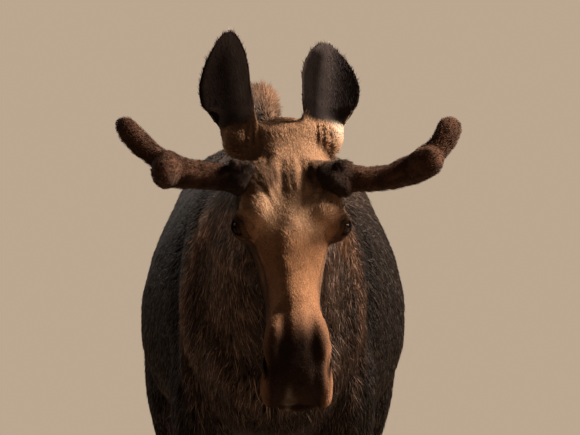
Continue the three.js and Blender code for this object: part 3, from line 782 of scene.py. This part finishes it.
# ---------------------------------------------------------------- the lie of the coat
def lie(p, n):
    """The way the hair points: back and down the body, down the legs, from the nose up the face, out
    along the ears. Always along the skin."""
    x, y, z = (p - SHIFT).T
    h = to_head(p)
    one = np.ones(len(p))
    head = head_share(y, z)
    way = lambda across, along, up: np.stack([across * one, along * one, up * one], 1)
    parting = 0.45 * np.sign(h[:, 0]) * ramp(np.abs(h[:, 0]), 0.01, 0.06)
    flow = layered(
        way(0, 0.9, -0.25 - 1.1 * (1 - ramp(z, 1.05, 1.50))),
        (way(0.15 * np.sign(x), 0.1, -1), ramp(-y, 0.10, 0.24) * ramp(-z, -1.42, -1.25)),  # chest
        (way(0, 0.2, -1), ramp(y, 1.10, 1.28)),  # rump
        (way(0.05 * np.sign(x), 0.20, -1), ramp(-z, -0.98, -0.84)),  # legs
        (way(0.1 * np.sign(x), 0.75, -0.75), ramp(-y, 0.20, 0.36) * ramp(z, 1.25, 1.40)),  # neck
        (way(parting, 1, -0.25) @ HEAD.T, head),
    )
    for side in EARS:
        up_ear = way(4 * to_ear(p, side)[:, 0], 0, 1) @ ear_turn(side).T
        flow = blend(flow, up_ear, ear_share(p, side))
    bell = ramp(-(z - 1.34), 0, 0.05) * ramp(-y, 0.575, 0.60)
    bell = bell * ramp(np.abs(h[:, 1]) * -1, -0.8, -0.5) * (h[:, 2] < -0.25)
    throat = ramp(-y, 0.16, 0.30) * ramp(-z, -1.44, -1.36) * (1 - head) * ramp(np.abs(x), 0.05, 0.12)
    throat = throat * ramp(0.01 - np.abs(x) + neck_edge(z), 0, 0.02)
    flow = layered(flow, (way(0, 0, -1), bell), (way(0.75 * np.sign(x), 0.1, -0.75), throat))
    noise = lambda scale, seed: np.stack([wave(p, scale, seed + k) for k in range(3)], 1)
    swirl, clump = noise(0.20, 21), noise(0.035, 24)
    flow = unit(flow) + (0.12 - 0.05 * head)[:, None] * swirl + (0.14 - 0.09 * head)[:, None] * clump
    return along_skin(flow, n)


def ear_share(p, side):
    """1 on the leaf of an ear and 0 elsewhere: by place across and through the leaf, and height up it."""
    across, depth, up = to_ear(p, side).T
    half, cup = (np.interp(up, EAR_ROWS[:, 0], EAR_ROWS[:, k]) for k in (1, 4))
    share = np.abs(across) / half
    through = np.abs(depth + cup * share**2)
    return ramp(up, 0.004, 0.030) * ramp(-share, -1.30, -1.10) * ramp(-through, -0.034, -0.026)


def in_ear(p, n, side):
    """1 on the hollow side of an ear and 0 on its back: by the way the surface faces, seen from the
    leaf's middle."""
    across, depth, _ = to_ear(p, side).T
    facing = n @ ear_turn(side)
    return ramp(-facing[:, 0] * across - facing[:, 1] * (0.07 + depth), -0.004, 0.010)


def head_share(y, z):
    """1 on the head and 0 on the neck: the border slants back to the crown."""
    return np.maximum(ramp(-y, 0.64, 0.72), ramp(-y, 0.555, 0.60) * ramp(z, 1.54, 1.60))


def hair(p, n):
    """Length, width and lift of the hair in metres and radians, and how many locks there are to a square
    metre. Each form starts from the body's hair and is drawn to its own value by its share of the
    skin."""
    _, y, z = (p - SHIFT).T
    h = to_head(p)
    one = np.ones(len(p))
    front = ramp(-y, -0.05, 0.15)
    chest = ramp(-y, 0.02, 0.16) * ramp(-z, -1.35, -1.15) * ramp(z, 0.9, 1.0)
    low = ramp(-z, -0.95, -0.72)
    foot = ramp(-z, -0.13, -0.08)
    head = head_share(y, z)
    nose = ramp(-h[:, 1], 0.36, 0.52) * head
    brow = bump(h[:, 1], -0.03, 0.07) * ramp(h[:, 2], -0.10, -0.05) * head
    ears = [ear_share(p, side) for side in EARS]
    ear = np.maximum(*ears)
    inside = sum(share * in_ear(p, n, side) for share, side in zip(ears, EARS))
    length = 0.034 + 0.008 * ramp(z, 1.25, 1.5) + 0.014 * chest
    length = layered(blend(length, 0.016, low) + 0.008 * foot, (0.0088, head), (0.0050, nose)) + 0.002 * brow
    length = blend(length, 0.0080, ear) + 0.006 * inside
    width = 0.0032 * one - 0.0006 * front
    width = layered(width, (0.0023, low), (0.00120, head), (0.0010, nose), (0.0010, ear))
    lift = 0.20 * one + 0.10 * chest - 0.05 * low
    lift = blend(layered(lift, (0.10, head), (0.14, nose)) + 0.02 * brow, 0.05, ear)
    dense = 33000.0 * one + 19000 * front
    dense = layered(dense, (54000, low), (158000, head), (150000, ear)) - 95000 * inside
    for side in (1, -1):
        centre, along, up, out = eye_frame(side)
        d = h - centre
        ring = opening(d @ along, d @ up)
        near = (d @ out > 0).astype(float) * ramp(-ring, -3.0, -1.8)
        length = length * (1 - 0.62 * near)
        lift = lift * (1 - 0.6 * near)
        dense = dense * (1 - near * ramp(-ring, -1.75, -1.50))
        dense = dense * (1 - ramp(-from_nostril(h, side), -0.022, -0.012))
    lips = bump(h[:, 2] + 0.131, 0, 0.006) * ramp(-h[:, 1], 0.42, 0.46)
    return length, width, lift, dense * (1 - 0.9 * lips)


def bake_places(roots, normals):
    """Where each root lies on an unwrap of the skin: six charts, one for each way the skin faces, side by
    side."""
    axis = np.abs(normals).argmax(1)
    facing = np.take_along_axis(normals, axis[:, None], 1)[:, 0] > 0
    low, span = roots.min(0), np.maximum(np.ptp(roots, axis=0), 1e-6)
    place = (roots - low) / span
    across = np.where(axis == 0, place[:, 1], place[:, 0])
    upward = np.where(axis == 2, place[:, 1], place[:, 2])
    cell = axis * 2 + facing
    margin = 0.01
    u = (cell % 3) / 3 + margin + across * (1 / 3 - 2 * margin)
    v = (cell // 3) / 2 + margin + upward * (1 / 2 - 2 * margin)
    return np.stack([u, v], 1)


LOCK_FACES = np.array([[0, 1, 3], [0, 3, 2], [0, 2, 1], [4, 3, 1], [4, 2, 3], [4, 1, 2]])
LOCK_PATCH = np.array([[0, -1], [-1, -0.2], [1, -0.2], [0, 0.1], [0, 1]]) * 0.0015
LOCK_BEND = 0.36  # share of a lock's length at its widest place, where it bends
LOCK_BURY, LOCK_THICK = 0.25, 0.34  # depth of its root in the skin and half thickness, in widths


def locks(name, p, n, flow, length, width, lift, colour, curl=0.55):
    """Tufts of hair in one mesh. Each is a thin closed lock with a root, a left, a right and a top edge a
    third of the way along, and a tip. It leaves the skin at its lift, and bends back by its curl to lie
    along the flow."""
    count = len(p)
    jitter = rng.normal(size=(count, 3))
    flow = unit(flow + 0.20 * (jitter - n * (jitter * n).sum(1)[:, None]))
    length = length * rng.uniform(0.75, 1.2, count)
    width = width * rng.uniform(0.75, 1.25, count)
    lift = lift * rng.uniform(0.6, 1.35, count)
    side = np.cross(flow, n)
    start = unit(flow * np.cos(lift)[:, None] + n * np.sin(lift)[:, None])
    late = lift * (1 - curl)
    stray = side * rng.normal(0, 0.12, count)[:, None]
    end = unit(flow * np.cos(late)[:, None] + n * np.sin(late)[:, None] + stray)
    root = p - n * (width * LOCK_BURY)[:, None]
    middle = root + start * (LOCK_BEND * length)[:, None]
    tip = middle + end * ((1 - LOCK_BEND) * length)[:, None]
    half = (width / 2)[:, None]
    over = unit(np.cross(side, start))
    over = over * np.sign((over * n).sum(1))[:, None]
    top = middle + over * half * 2 * LOCK_THICK
    points = np.stack([root, middle - side * half, middle + side * half, top, tip], 1)
    faces = (LOCK_FACES[None] + 5 * np.arange(count)[:, None, None]).reshape(-1, 3)
    corners = points[0][LOCK_FACES[0]]
    probe = np.cross(corners[1] - corners[0], corners[2] - corners[0]) @ (corners.mean(0) - points[0].mean(0))
    if probe < 0:
        faces = faces[:, ::-1]
    obj = make_object(name, points.reshape(-1, 3), faces)
    mesh = obj.data
    places = bake_places(p, n)
    uv = (places[:, None] + LOCK_PATCH[None]).reshape(-1, 2)[faces.ravel()]
    layer = mesh.uv_layers.new(name="OFBake")
    layer.data.foreach_set("uv", np.ascontiguousarray(uv, dtype=np.float32).ravel())
    along = np.tile(np.array([0, LOCK_BEND, LOCK_BEND, LOCK_BEND, 1.0]), count)
    shade = np.repeat(rng.uniform(0, 1, count), 5)
    paint(mesh, np.repeat(colour, 5, axis=0))
    for label, values in (("along", along), ("shade", shade)):
        mesh.attributes.new(label, "FLOAT", "POINT").data.foreach_set("value", values.astype(np.float32))
    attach(obj, "root")
    return obj


def paint(mesh, colour):
    """Stores a colour for each vertex under the name marking."""
    rgba = np.ones((len(colour), 4), dtype=np.float32)
    rgba[:, :3] = colour
    mesh.attributes.new("marking", "FLOAT_COLOR", "POINT").data.foreach_set("color", rgba.ravel())


def scatter(verts, tris, fields, dense):
    """Random roots over a mesh, dense[i] to a square metre around vertex i, with each field at the roots.
    A face is drawn by its area times its density, and the place in it by two even draws folded at the
    diagonal."""
    corner = verts[tris]
    area = np.linalg.norm(np.cross(corner[:, 1] - corner[:, 0], corner[:, 2] - corner[:, 0]), axis=1) / 2
    wanted = area * dense[tris].mean(1)
    count = int(wanted.sum())
    chosen = np.searchsorted(np.cumsum(wanted), rng.uniform(0, wanted.sum(), count))
    chosen = np.minimum(chosen, len(tris) - 1)
    u = rng.uniform(0, 1, (count, 2))
    u = np.where(u.sum(1, keepdims=True) > 1, 1 - u, u)
    share = np.stack([1 - u.sum(1), u[:, 0], u[:, 1]], 1)
    return [np.einsum("ij,ij...->i...", share, field[tris[chosen]]) for field in (verts, *fields)]


# ---------------------------------------------------------------- shader groups and materials
def feed(tree, socket, value):
    """Gives an input its value, or links another node's output to it."""
    if isinstance(value, bpy.types.NodeSocket):
        tree.links.new(value, socket)
    else:
        socket.default_value = value


def node(tree, kind, **settings):
    """A new shader node. A setting named in_ and an input's number or name feeds that input, and any
    other is a property of the node."""
    made = tree.nodes.new(kind)
    for key, value in settings.items():
        if key.startswith("in_"):
            label = key[3:]
            feed(tree, made.inputs[int(label) if label.isdigit() else label.replace("_", " ")], value)
        else:
            setattr(made, key, value)
    return made


def math_node(tree, operation, *values, clamp=False):
    """The result of one operation on values or sockets."""
    made = node(tree, "ShaderNodeMath", operation=operation, use_clamp=clamp)
    for socket, value in zip(made.inputs, values):
        feed(tree, socket, value)
    return made.outputs[0]


def mixed(tree, share, first, second):
    """The second colour over the first by a share."""
    made = node(tree, "ShaderNodeMix", data_type="RGBA", in_0=share, in_6=first, in_7=second)
    return made.outputs[2]


def attribute(tree, name, output):
    """The socket of a vertex attribute."""
    return node(tree, "ShaderNodeAttribute", attribute_name=name).outputs[output]


def shader_group(name, inputs, outputs, build):
    """A node group with named inputs and outputs: build makes its nodes and returns a socket for each
    output."""
    group = bpy.data.node_groups.new(name, "ShaderNodeTree")
    for label, kind, value in inputs:
        socket = group.interface.new_socket(label, in_out="INPUT", socket_type="NodeSocket" + kind)
        if value is not None:
            socket.default_value = value
    for label, kind in outputs:
        group.interface.new_socket(label, in_out="OUTPUT", socket_type="NodeSocket" + kind)
    given = group.nodes.new("NodeGroupInput").outputs
    out = group.nodes.new("NodeGroupOutput")
    for (label, _), socket in zip(outputs, build(group, given)):
        group.links.new(socket, out.inputs[label])
    return group


def grain_build(group, given):
    """Colour times 1 plus Amount times a fine noise spread from -1 to 1. Height is the noise itself."""
    place = node(group, "ShaderNodeTexCoord").outputs["Object"]
    noise = {"in_Vector": place, "in_Scale": given["Scale"], "in_Detail": 3.0, "in_Roughness": 0.65}
    fine = node(group, "ShaderNodeTexNoise", **noise).outputs["Fac"]
    spread = node(group, "ShaderNodeMapRange", in_0=fine, in_1=0.3, in_2=0.7, in_3=-1.0, in_4=1.0)
    amount = math_node(group, "MULTIPLY_ADD", spread.outputs[0], given["Amount"], 1.0)
    scaled = node(group, "ShaderNodeVectorMath", operation="SCALE", in_0=given["Colour"], in_Scale=amount)
    return scaled.outputs[0], fine


def strand_build(group, given):
    """A lock's colour: the marking, darker at the root, turning towards the marking times Tip gain at the
    tip, most on the one lock in six that is pale, and each lock its own shade. The pale tips are partly
    paler hair and partly painted glints of lit strands."""
    along = attribute(group, "along", "Fac")
    shade = attribute(group, "shade", "Fac")
    root = node(group, "ShaderNodeMapRange", in_0=along, in_1=0.0, in_2=0.5, in_3=given["Root"], in_4=1.0)
    centred = node(group, "ShaderNodeMapRange", in_0=shade, in_1=0.0, in_2=1.0, in_3=-1.0, in_4=1.0)
    own = math_node(group, "MULTIPLY_ADD", centred.outputs[0], given["Spread"], 1.0)
    both = math_node(group, "MULTIPLY", root.outputs[0], own)
    scaled = node(group, "ShaderNodeVectorMath", operation="SCALE", in_0=given["Colour"], in_Scale=both)
    # partly painted glints: the pale lock tips are partly paler hair and partly the glints of lit strands
    pale = math_node(group, "GREATER_THAN", shade, 0.84)
    some = math_node(group, "MULTIPLY_ADD", pale, 0.85, 0.15)
    share = math_node(group, "MULTIPLY", math_node(group, "POWER", along, 1.6), some)
    strength = math_node(group, "MULTIPLY", share, given["Tip"], clamp=True)
    gain = {"operation": "MULTIPLY", "in_0": given["Colour"], "in_1": given["Tip gain"]}
    lit = node(group, "ShaderNodeVectorMath", **gain).outputs[0]
    return (mixed(group, strength, scaled.outputs[0], lit),)


GRAIN = shader_group(
    "grain",
    [("Colour", "Color", None), ("Scale", "Float", 300.0), ("Amount", "Float", 0.2)],
    [("Colour", "Color"), ("Height", "Float")],
    grain_build,
)
STRAND = shader_group(
    "strand",
    [
        ("Colour", "Color", None),
        ("Tip", "Float", 1.0),
        ("Tip gain", "Vector", None),
        ("Root", "Float", 0.6),
        ("Spread", "Float", 0.3),
    ],
    [("Colour", "Color")],
    strand_build,
)


def group_node(tree, group, **values):
    """An instance of a shader group with its inputs fed."""
    made = tree.nodes.new("ShaderNodeGroup")
    made.node_tree = group
    for key, value in values.items():
        feed(tree, made.inputs[key.replace("_", " ")], value)
    return made


def surface(name, roughness=0.7, sheen=0.0, coat=0.0, specular=0.35, **sockets):
    """A material whose Principled shader takes its constant values on its own sockets."""
    material = bpy.data.materials.new(name)
    material.use_nodes = True
    shader = material.node_tree.nodes["Principled BSDF"]
    values = {
        "Roughness": roughness,
        "Sheen Weight": sheen,
        "Sheen Roughness": 0.5,
        "Coat Weight": coat,
        "Specular IOR Level": specular,
        **sockets,
    }
    for key, value in values.items():
        shader.inputs[key].default_value = value
    return material, material.node_tree, shader


def add_bump(tree, shader, height, strength, distance):
    """Bump from a height socket."""
    made = node(tree, "ShaderNodeBump", in_Strength=strength, in_Distance=distance, in_Height=height)
    feed(tree, shader.inputs["Normal"], made.outputs[0])


def skin_material():
    """Short close hair: the markings broken up by grain, with a fine bump."""
    material, tree, shader = surface("skin_hair", roughness=0.8, specular=0.0)
    grain = group_node(tree, GRAIN, Colour=attribute(tree, "marking", "Color"), Scale=420.0, Amount=0.35)
    dark = node(tree, "ShaderNodeVectorMath", operation="SCALE", in_0=grain.outputs["Colour"], in_Scale=0.80)
    feed(tree, shader.inputs["Base Color"], dark.outputs[0])
    add_bump(tree, shader, grain.outputs["Height"], 0.5, 0.002)
    return material


def coat_material(name, tip, tip_gain, roughness=0.55, root=0.55, spread=0.30, specular=0.03):
    """Locks of hair: the markings darkened at the root and paler at the tip, the tips partly painted glints.
    """
    material, tree, shader = surface(name, roughness=roughness, specular=specular)
    mark = attribute(tree, "marking", "Color")
    strand = group_node(tree, STRAND, Colour=mark, Tip=tip, Tip_gain=tip_gain, Root=root, Spread=spread)
    feed(tree, shader.inputs["Base Color"], strand.outputs["Colour"])
    return material


def velvet_material():
    """Antler velvet: mottled reddish brown with soft sheen and a fuzzy bump."""
    material, tree, shader = surface("antler_velvet", roughness=0.9, sheen=0.10, specular=0.04)
    shader.inputs["Sheen Tint"].default_value = (0.75, 0.50, 0.35, 1.0)
    grain = group_node(tree, GRAIN, Colour=attribute(tree, "marking", "Color"), Scale=90.0, Amount=0.25)
    fine = group_node(tree, GRAIN, Colour=grain.outputs["Colour"], Scale=700.0, Amount=0.25)
    feed(tree, shader.inputs["Base Color"], fine.outputs["Colour"])
    add_bump(tree, shader, fine.outputs["Height"], 0.8, 0.003)
    return material


def horn_material():
    """Hoof horn: near black with growth rings up the wall and dust worn into the toe."""
    material, tree, shader = surface("hoof_horn", roughness=0.48, coat=0.08, specular=0.45)
    place = node(tree, "ShaderNodeTexCoord").outputs["Object"]
    rings = node(
        tree,
        "ShaderNodeTexWave",
        bands_direction="Z",
        in_Vector=place,
        in_Scale=60.0,
        in_Distortion=3.0,
        in_Detail=2.0,
        in_Detail_Scale=3.0,
    )
    height = node(tree, "ShaderNodeSeparateXYZ", in_0=place).outputs["Z"]
    low = node(tree, "ShaderNodeMapRange", in_0=height, in_1=0.0, in_2=0.03, in_3=0.55, in_4=0.0)
    worn = mixed(tree, low.outputs[0], (*HORN, 1.0), (*DUST, 1.0))
    grain = group_node(tree, GRAIN, Colour=worn, Scale=160.0, Amount=0.35)
    feed(tree, shader.inputs["Base Color"], grain.outputs["Colour"])
    add_bump(tree, shader, rings.outputs["Fac"], 0.25, 0.002)
    return material


def eye_material():
    """A dark wet eye: iris and pupil from the marking, under a clear glossy front."""
    material, tree, shader = surface("eye", roughness=0.05, specular=0.5, IOR=1.16)
    feed(tree, shader.inputs["Base Color"], attribute(tree, "marking", "Color"))
    return material


# ---------------------------------------------------------------- camera, light and floor
CAMERA_AT = np.array([0.0, -10.700, 1.900]) + SHIFT
VIEW = np.array([0.00339646, 0.9989414, -0.0458753])  # the way the camera looks
LENS = 310.34


def set_camera():
    """A long lens more than ten metres in front of the head, a little above it."""
    data = bpy.data.cameras.new("camera")
    data.lens, data.sensor_width, data.clip_end = LENS, 36.0, 200.0
    camera = bpy.data.objects.new("camera", data)
    bpy.context.scene.collection.objects.link(camera)
    camera.location = CAMERA_AT
    camera.rotation_euler = Vector(VIEW).to_track_quat("-Z", "Y").to_euler()
    bpy.context.scene.camera = camera


def area_light(name, at, target, size, power, colour):
    """A square area light at a place, aimed at a target."""
    data = bpy.data.lights.new(name, "AREA")
    data.shape, data.size, data.energy, data.color = "SQUARE", size, power, colour
    light = bpy.data.objects.new(name, data)
    bpy.context.scene.collection.objects.link(light)
    light.location = at
    light.rotation_euler = (Vector(target) - Vector(at)).to_track_quat("-Z", "Y").to_euler()


BACKGROUND = (0.50, 0.385, 0.28, 1.0)  # what is seen beyond the lit floor
FLOOR = (0.235, 0.180, 0.135, 1.0)
FLOOR_RADIUS, FLOOR_SIDES = 80, 96
FLOOR_FADE = (1.8, 5.2)  # from the middle to where the floor starts and ends its turn into the background
AMBIENT, AMBIENT_STRENGTH = (0.80, 0.78, 0.75, 1), 0.045
LIGHTS = (  # name, place, target, size, watts and colour
    ("key", (6.9, -0.3, 6.6), (0, -0.9, 1.4), 2.6, 3900, (1.0, 0.92, 0.82)),
    ("fill", (-4.5, -6.0, 2.6), (0, -0.5, 1.2), 4.0, 7, (0.97, 0.97, 1.0)),
    ("catch", (5.2, 1.3, 3.1), (0.1, -1.0, 1.45), 0.35, 60, (1.0, 0.95, 0.9)),
    ("rim", (-4.8, 5.8, 3.4), (0, 0.2, 1.1), 4.0, 270, (1.0, 0.95, 0.88)),
)


def set_world():
    """A weak even light from all round, and the plain background where the camera looks straight at it."""
    world = bpy.data.worlds.new("world")
    world.use_nodes = True
    tree = world.node_tree
    ambient = tree.nodes["Background"]
    ambient.inputs[0].default_value, ambient.inputs[1].default_value = AMBIENT, AMBIENT_STRENGTH
    seen = node(tree, "ShaderNodeBackground", in_0=BACKGROUND, in_1=1.0)
    camera_ray = node(tree, "ShaderNodeLightPath").outputs["Is Camera Ray"]
    mix = node(tree, "ShaderNodeMixShader", in_0=camera_ray, in_1=ambient.outputs[0], in_2=seen.outputs[0])
    feed(tree, tree.nodes["World Output"].inputs[0], mix.outputs[0])
    bpy.context.scene.world = world


def set_stage():
    """A warm key from the left of the animal and above, weak lights round it, and a pale floor that turns
    into the plain background with its distance from the middle."""
    for light in LIGHTS:
        area_light(*light)
    set_world()
    bpy.context.scene.view_settings.view_transform = "Standard"
    around = np.arange(FLOOR_SIDES) / FLOOR_SIDES * 2 * math.pi
    rim = FLOOR_RADIUS * np.stack([np.cos(around), np.sin(around), 0 * around], 1)
    k = np.arange(FLOOR_SIDES)
    fan = np.stack([k, (k + 1) % FLOOR_SIDES, np.full(FLOOR_SIDES, FLOOR_SIDES)], 1)
    floor = make_object("floor", np.vstack([rim, [[0, 0, 0]]]), fan)
    material, tree, shader = surface("floor", roughness=0.9, specular=0.05)
    grain = group_node(tree, GRAIN, Colour=FLOOR, Scale=3.0, Amount=0.04)
    feed(tree, shader.inputs["Base Color"], grain.outputs["Colour"])
    place = node(tree, "ShaderNodeTexCoord").outputs["Object"]
    distance = node(tree, "ShaderNodeVectorMath", operation="LENGTH", in_0=place).outputs["Value"]
    near, far = FLOOR_FADE
    smooth = {"interpolation_type": "SMOOTHSTEP", "in_0": distance, "in_1": near, "in_2": far}
    fade = node(tree, "ShaderNodeMapRange", **smooth).outputs[0]
    camera_ray = node(tree, "ShaderNodeLightPath").outputs["Is Camera Ray"]
    share = math_node(tree, "MULTIPLY", fade, camera_ray)
    glow = node(tree, "ShaderNodeEmission", in_0=BACKGROUND, in_1=1.0).outputs[0]
    mix = node(tree, "ShaderNodeMixShader", in_0=share, in_1=shader.outputs[0], in_2=glow)
    feed(tree, tree.nodes["Material Output"].inputs[0], mix.outputs[0])
    floor.data.materials.append(material)


# ---------------------------------------------------------------- pieces
def close_piece(name, nodes, voxel, rounds, slot, material, shrink=0.0, extra=(), grow=0.0, whole=True):
    """CAD nodes, and extra closed meshes, remade as one smooth piece that replaces the nodes, and set in
    along its normals by shrink."""
    verts, tris = remeshed(nodes, voxel, grow=grow, extra=extra, whole=whole)
    edges = edges_of(tris)
    verts = smoothed(verts, edges, rounds)
    verts = verts - normals_of(verts, tris) * shrink
    obj = make_object(name, verts, tris)
    obj.data.materials.append(material)
    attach(obj, "root")
    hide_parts(*nodes)
    return obj, verts, tris


def make_eyes():
    """Both eyeballs: smooth spheres, a little fuller in front, coloured ring by ring from the pupil out."""
    globe, tris = ball((0, 0, 0), 1.0, 32, 48)
    front = ramp(globe[:, 2], 0.80, 0.98)
    pupil = np.hypot(globe[:, 0] / 0.42, globe[:, 1] / 0.22)
    iris = np.hypot(globe[:, 0], globe[:, 1])
    colour = layered(
        np.tile(IRIS, (len(globe), 1)),
        (PUPIL, ramp(-pupil, -1.2, -0.85)),
        (EYE_RIM, ramp(iris, 0.62, 0.72)),
    )
    local = globe * (EYE_RADIUS - CORNEA / 2 + CORNEA * front)[:, None]
    for side, name in ((1, "eye_left"), (-1, "eye_right")):
        centre, along, up, out = eye_frame(side)
        obj = make_object(name + "_ball", *facing_out(from_head(centre + local @ [along, up, out]), tris))
        paint(obj.data, colour)
        obj.data.materials.append(eye_material())
        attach(obj, "root")
        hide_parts(name)


def make_skin():
    """The skin as one object in place of the flesh, and its fields for the coat."""
    verts, tris, edges = build_skin()
    normals = normals_of(verts, tris)
    skin = make_object("skin", verts, tris)
    paint(skin.data, markings(verts, normals))
    skin.data.materials.append(skin_material())
    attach(skin, "root")
    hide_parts(*sorted({*FLESH_BODY, *FLESH_HEAD, "ear_left", "ear_right"}))
    return verts, tris, edges, normals


def make_coat(verts, tris, edges, normals):
    """Locks over the whole skin, in pieces by region: short hair on the head and long hair elsewhere. A
    piece with too many locks keeps a random choice of them."""
    soft = unit(smoothed(normals, edges, 3))
    length, width, lift, dense = hair(verts, soft)
    fields = (soft, lie(verts, soft), length, width, lift, markings(verts, soft))
    p, n, flow, length, width, lift, colour = scatter(verts, tris, fields, dense)
    n, flow = unit(n), unit(flow)
    x, y, z = p[:, 0] - SHIFT[0], p[:, 1] - SHIFT[1], p[:, 2]
    face = to_head(p)[:, 1] < FACE_FROM
    head, legs = y < HEAD_TO, z < LEG_TOP
    body = ~head & (y >= NECK_TO) & ~legs
    ribs = body & (y >= SHOULDER_TO) & (y < RIBS_TO)
    regions = {
        "coat_face": head & face,
        "coat_head": head & ~face,
        "coat_neck": ~head & (y < NECK_TO) & ~legs,
        "coat_shoulder": body & (y < SHOULDER_TO),
        "coat_ribs_left": ribs & (x >= 0),
        "coat_ribs_right": ribs & (x < 0),
        "coat_rump": body & (y >= RIBS_TO),
        "coat_legs": legs & ~head,
    }
    # partly painted glints: the long hair's tips reach 13 times the marking, partly paler hair and partly lit
    # strands
    long_hair = coat_material("coat_long", 1.0, (13.0, 12.4, 12.0), root=0.35, spread=0.45)
    short_hair = coat_material(
        "coat_short", 0.9, (1.55, 1.6, 1.7), roughness=0.7, root=0.88, spread=0.13, specular=0.0
    )
    slots = {"coat_face": "face", "coat_head": "face", "coat_legs": "shank"}
    for name, mask in regions.items():
        k = np.flatnonzero(mask)
        if len(k) > MOST_LOCKS:
            k = rng.permutation(k)[:MOST_LOCKS]
        obj = locks(name, p[k], n[k], flow[k], length[k], width[k], lift[k], colour[k])
        slot = slots.get(name, "coat")
        obj.data.materials.append(short_hair if slot == "face" else long_hair)


def make_mane(verts, tris, normals):
    """Long hair along the crest, from the poll to behind the hump, leaning back. It grows where the skin
    is high, near the line that is the crest's middle, and faces up."""
    x, y, z = (verts - SHIFT).T
    near = ramp(-y, 0.22, 0.46)
    mid = -0.050 * ramp(y, -0.62, -0.20) * ramp(-y, -0.5, -0.2) - 0.006 * near
    low = 0.055 * ramp(y, 0.0, 0.20)
    along = ramp(z + low, 1.610, 1.650) * ramp(y, -0.64, -0.56) * ramp(-y, -0.52, -0.34)
    across = ramp(-np.abs(x - mid), -0.075 + 0.045 * near, -0.020 + 0.012 * near)
    on = along * across * ramp(normals[:, 2], -0.1, 0.3)
    tall = 0.050 * ramp(y, -0.56, -0.36) * ramp(-y, -0.50, -0.05) * (0.35 + 0.65 * across) + 0.012
    lift = 0.30 + 0.45 * across * ramp(-y, -0.40, -0.10)
    flow = along_skin(np.tile([-0.10, 0.85, 0.1], (len(verts), 1)), normals)
    colour = blend(markings(verts, normals), np.tile(CREST, (len(verts), 1)), 0.85 * on)
    colour = colour * (0.85 + 0.15 * wave(verts, 0.05, 41))[:, None]
    fields = (normals, flow, tall, lift, colour)
    p, n, flow, tall, lift, colour = scatter(verts, tris, fields, on * MANE_DENSE)
    width = np.full(len(p), MANE_WIDTH)
    obj = locks("mane_hair", p, unit(n), unit(flow), tall, width, lift, colour, curl=0.35)
    obj.data.materials.append(coat_material("mane_strands", 0.9, (2.4, 2.3, 2.2), root=0.35, spread=0.35))


# Burrs and knobs at the roots of the antlers: centre from the poll and radius.
KNOBS = {
    "right": (
        ((-0.084, -0.074, -0.117), 0.0365),
        ((-0.1055, -0.094, -0.0875), 0.0135),
        ((-0.074, -0.098, -0.094), 0.0095),
        ((-0.098, -0.098, -0.128), 0.0210),
        ((-0.086, -0.103, -0.110), 0.0120),
    ),
    "left": (
        ((0.084, -0.074, -0.119), 0.0365),
        ((0.103, -0.094, -0.0945), 0.0160),
        ((0.118, -0.088, -0.0890), 0.0100),
        ((0.092, -0.103, -0.118), 0.0150),
        ((0.110, -0.098, -0.138), 0.0190),
    ),
}


def make_antlers():
    """Each antler as one smooth velvet form, knobbed at its root and swollen by two sizes of noise, with
    short fuzz over it."""
    velvet = velvet_material()
    fuzz = coat_material("velvet_fuzz", 0.9, (2.6, 2.3, 2.1), roughness=0.8, root=0.6, spread=0.25)
    for side, sign in (("left", 1.0), ("right", -1.0)):
        nodes = [f"antler_{side}_{part}" for part in ("beam", "front_tine", "back_tine")]
        knobs = [ball(POLL + np.array(centre), radius) for centre, radius in KNOBS[side]]
        form = {"shrink": 0.0005, "extra": knobs, "grow": 0.0004}
        obj, verts, tris = close_piece(f"antler_{side}", nodes, ANTLER_VOXEL, 9, "velvet", velvet, **form)
        normals = normals_of(verts, tris)
        swell = 0.0018 * wave(verts, 0.05, 31) + 0.0010 * wave(verts, 0.018, 32)
        moved = verts + normals * swell[:, None]
        obj.data.vertices.foreach_set("co", np.ascontiguousarray(moved, dtype=np.float32).ravel())
        obj.data.update()
        out = (verts[:, 0] - POLL[0]) * sign
        colour = layered(
            np.tile(VELVET, (len(verts), 1)),
            (VELVET_DARK, 0.92 * ramp(-out, -0.150, -0.105)),
            # painted shade: the antlers' downward-facing surfaces are painted darker
            (VELVET_DARK, 0.6 * ramp(-normals[:, 2], 0.0, 0.6)),
            (VELVET_DARK, 0.5 * ramp(wave(verts, 0.06, 35), 0.15, 0.7)),
        )
        colour = colour * (1 + 0.15 * wave(verts, 0.02, 33))[:, None]
        paint(obj.data, colour)
        flow = along_skin(np.tile([sign, 0.1, 0.35], (len(verts), 1)), normals)
        dense = np.full(len(verts), FUZZ_DENSE)
        p, n, flow, colour = scatter(moved, tris, (normals, flow, colour), dense)
        shape = [np.full(len(p), value) for value in (FUZZ_LENGTH, FUZZ_WIDTH, FUZZ_LIFT)]
        hairs = locks(f"velvet_fuzz_{side}", p, unit(n), unit(flow), *shape, colour)
        hairs.data.materials.append(fuzz)


def make_hooves():
    """The hooves and dewclaws, smoothed. Each dewclaw hangs on three balls that step inward and up from
    its middle to the middle of the leg."""
    nodes = sorted(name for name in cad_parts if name.startswith(("hoof_", "dewclaw_")))
    roots = []
    for name in nodes:
        if name.startswith("dewclaw_"):
            _, end, side, _ = name.split("_")
            limb = "foreleg" if end == "fore" else "hind_leg"
            claw = arrays(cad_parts[name].data)[0].mean(axis=0)
            leg = arrays(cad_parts[f"{limb}_{side}_lower"].data)[0]
            inward = leg[np.abs(leg[:, 2] - claw[2]) < 0.05].mean(axis=0) - claw
            inward = inward * [1, 1, 0] / np.linalg.norm(inward[:2])
            for step in (0.007, 0.015, 0.023):
                roots.append(ball(claw + inward * step + [0, 0, 0.5 * step], 0.0125))
    close_piece("hooves", nodes, HOOF_VOXEL, 5, "hoof", horn_material(), extra=roots, whole=False)


# The order of the calls is the order of the random draws.
set_camera()
set_stage()
skin = make_skin()
make_eyes()
make_antlers()
make_hooves()
make_coat(*skin)
make_mane(skin[0], skin[1], skin[3])
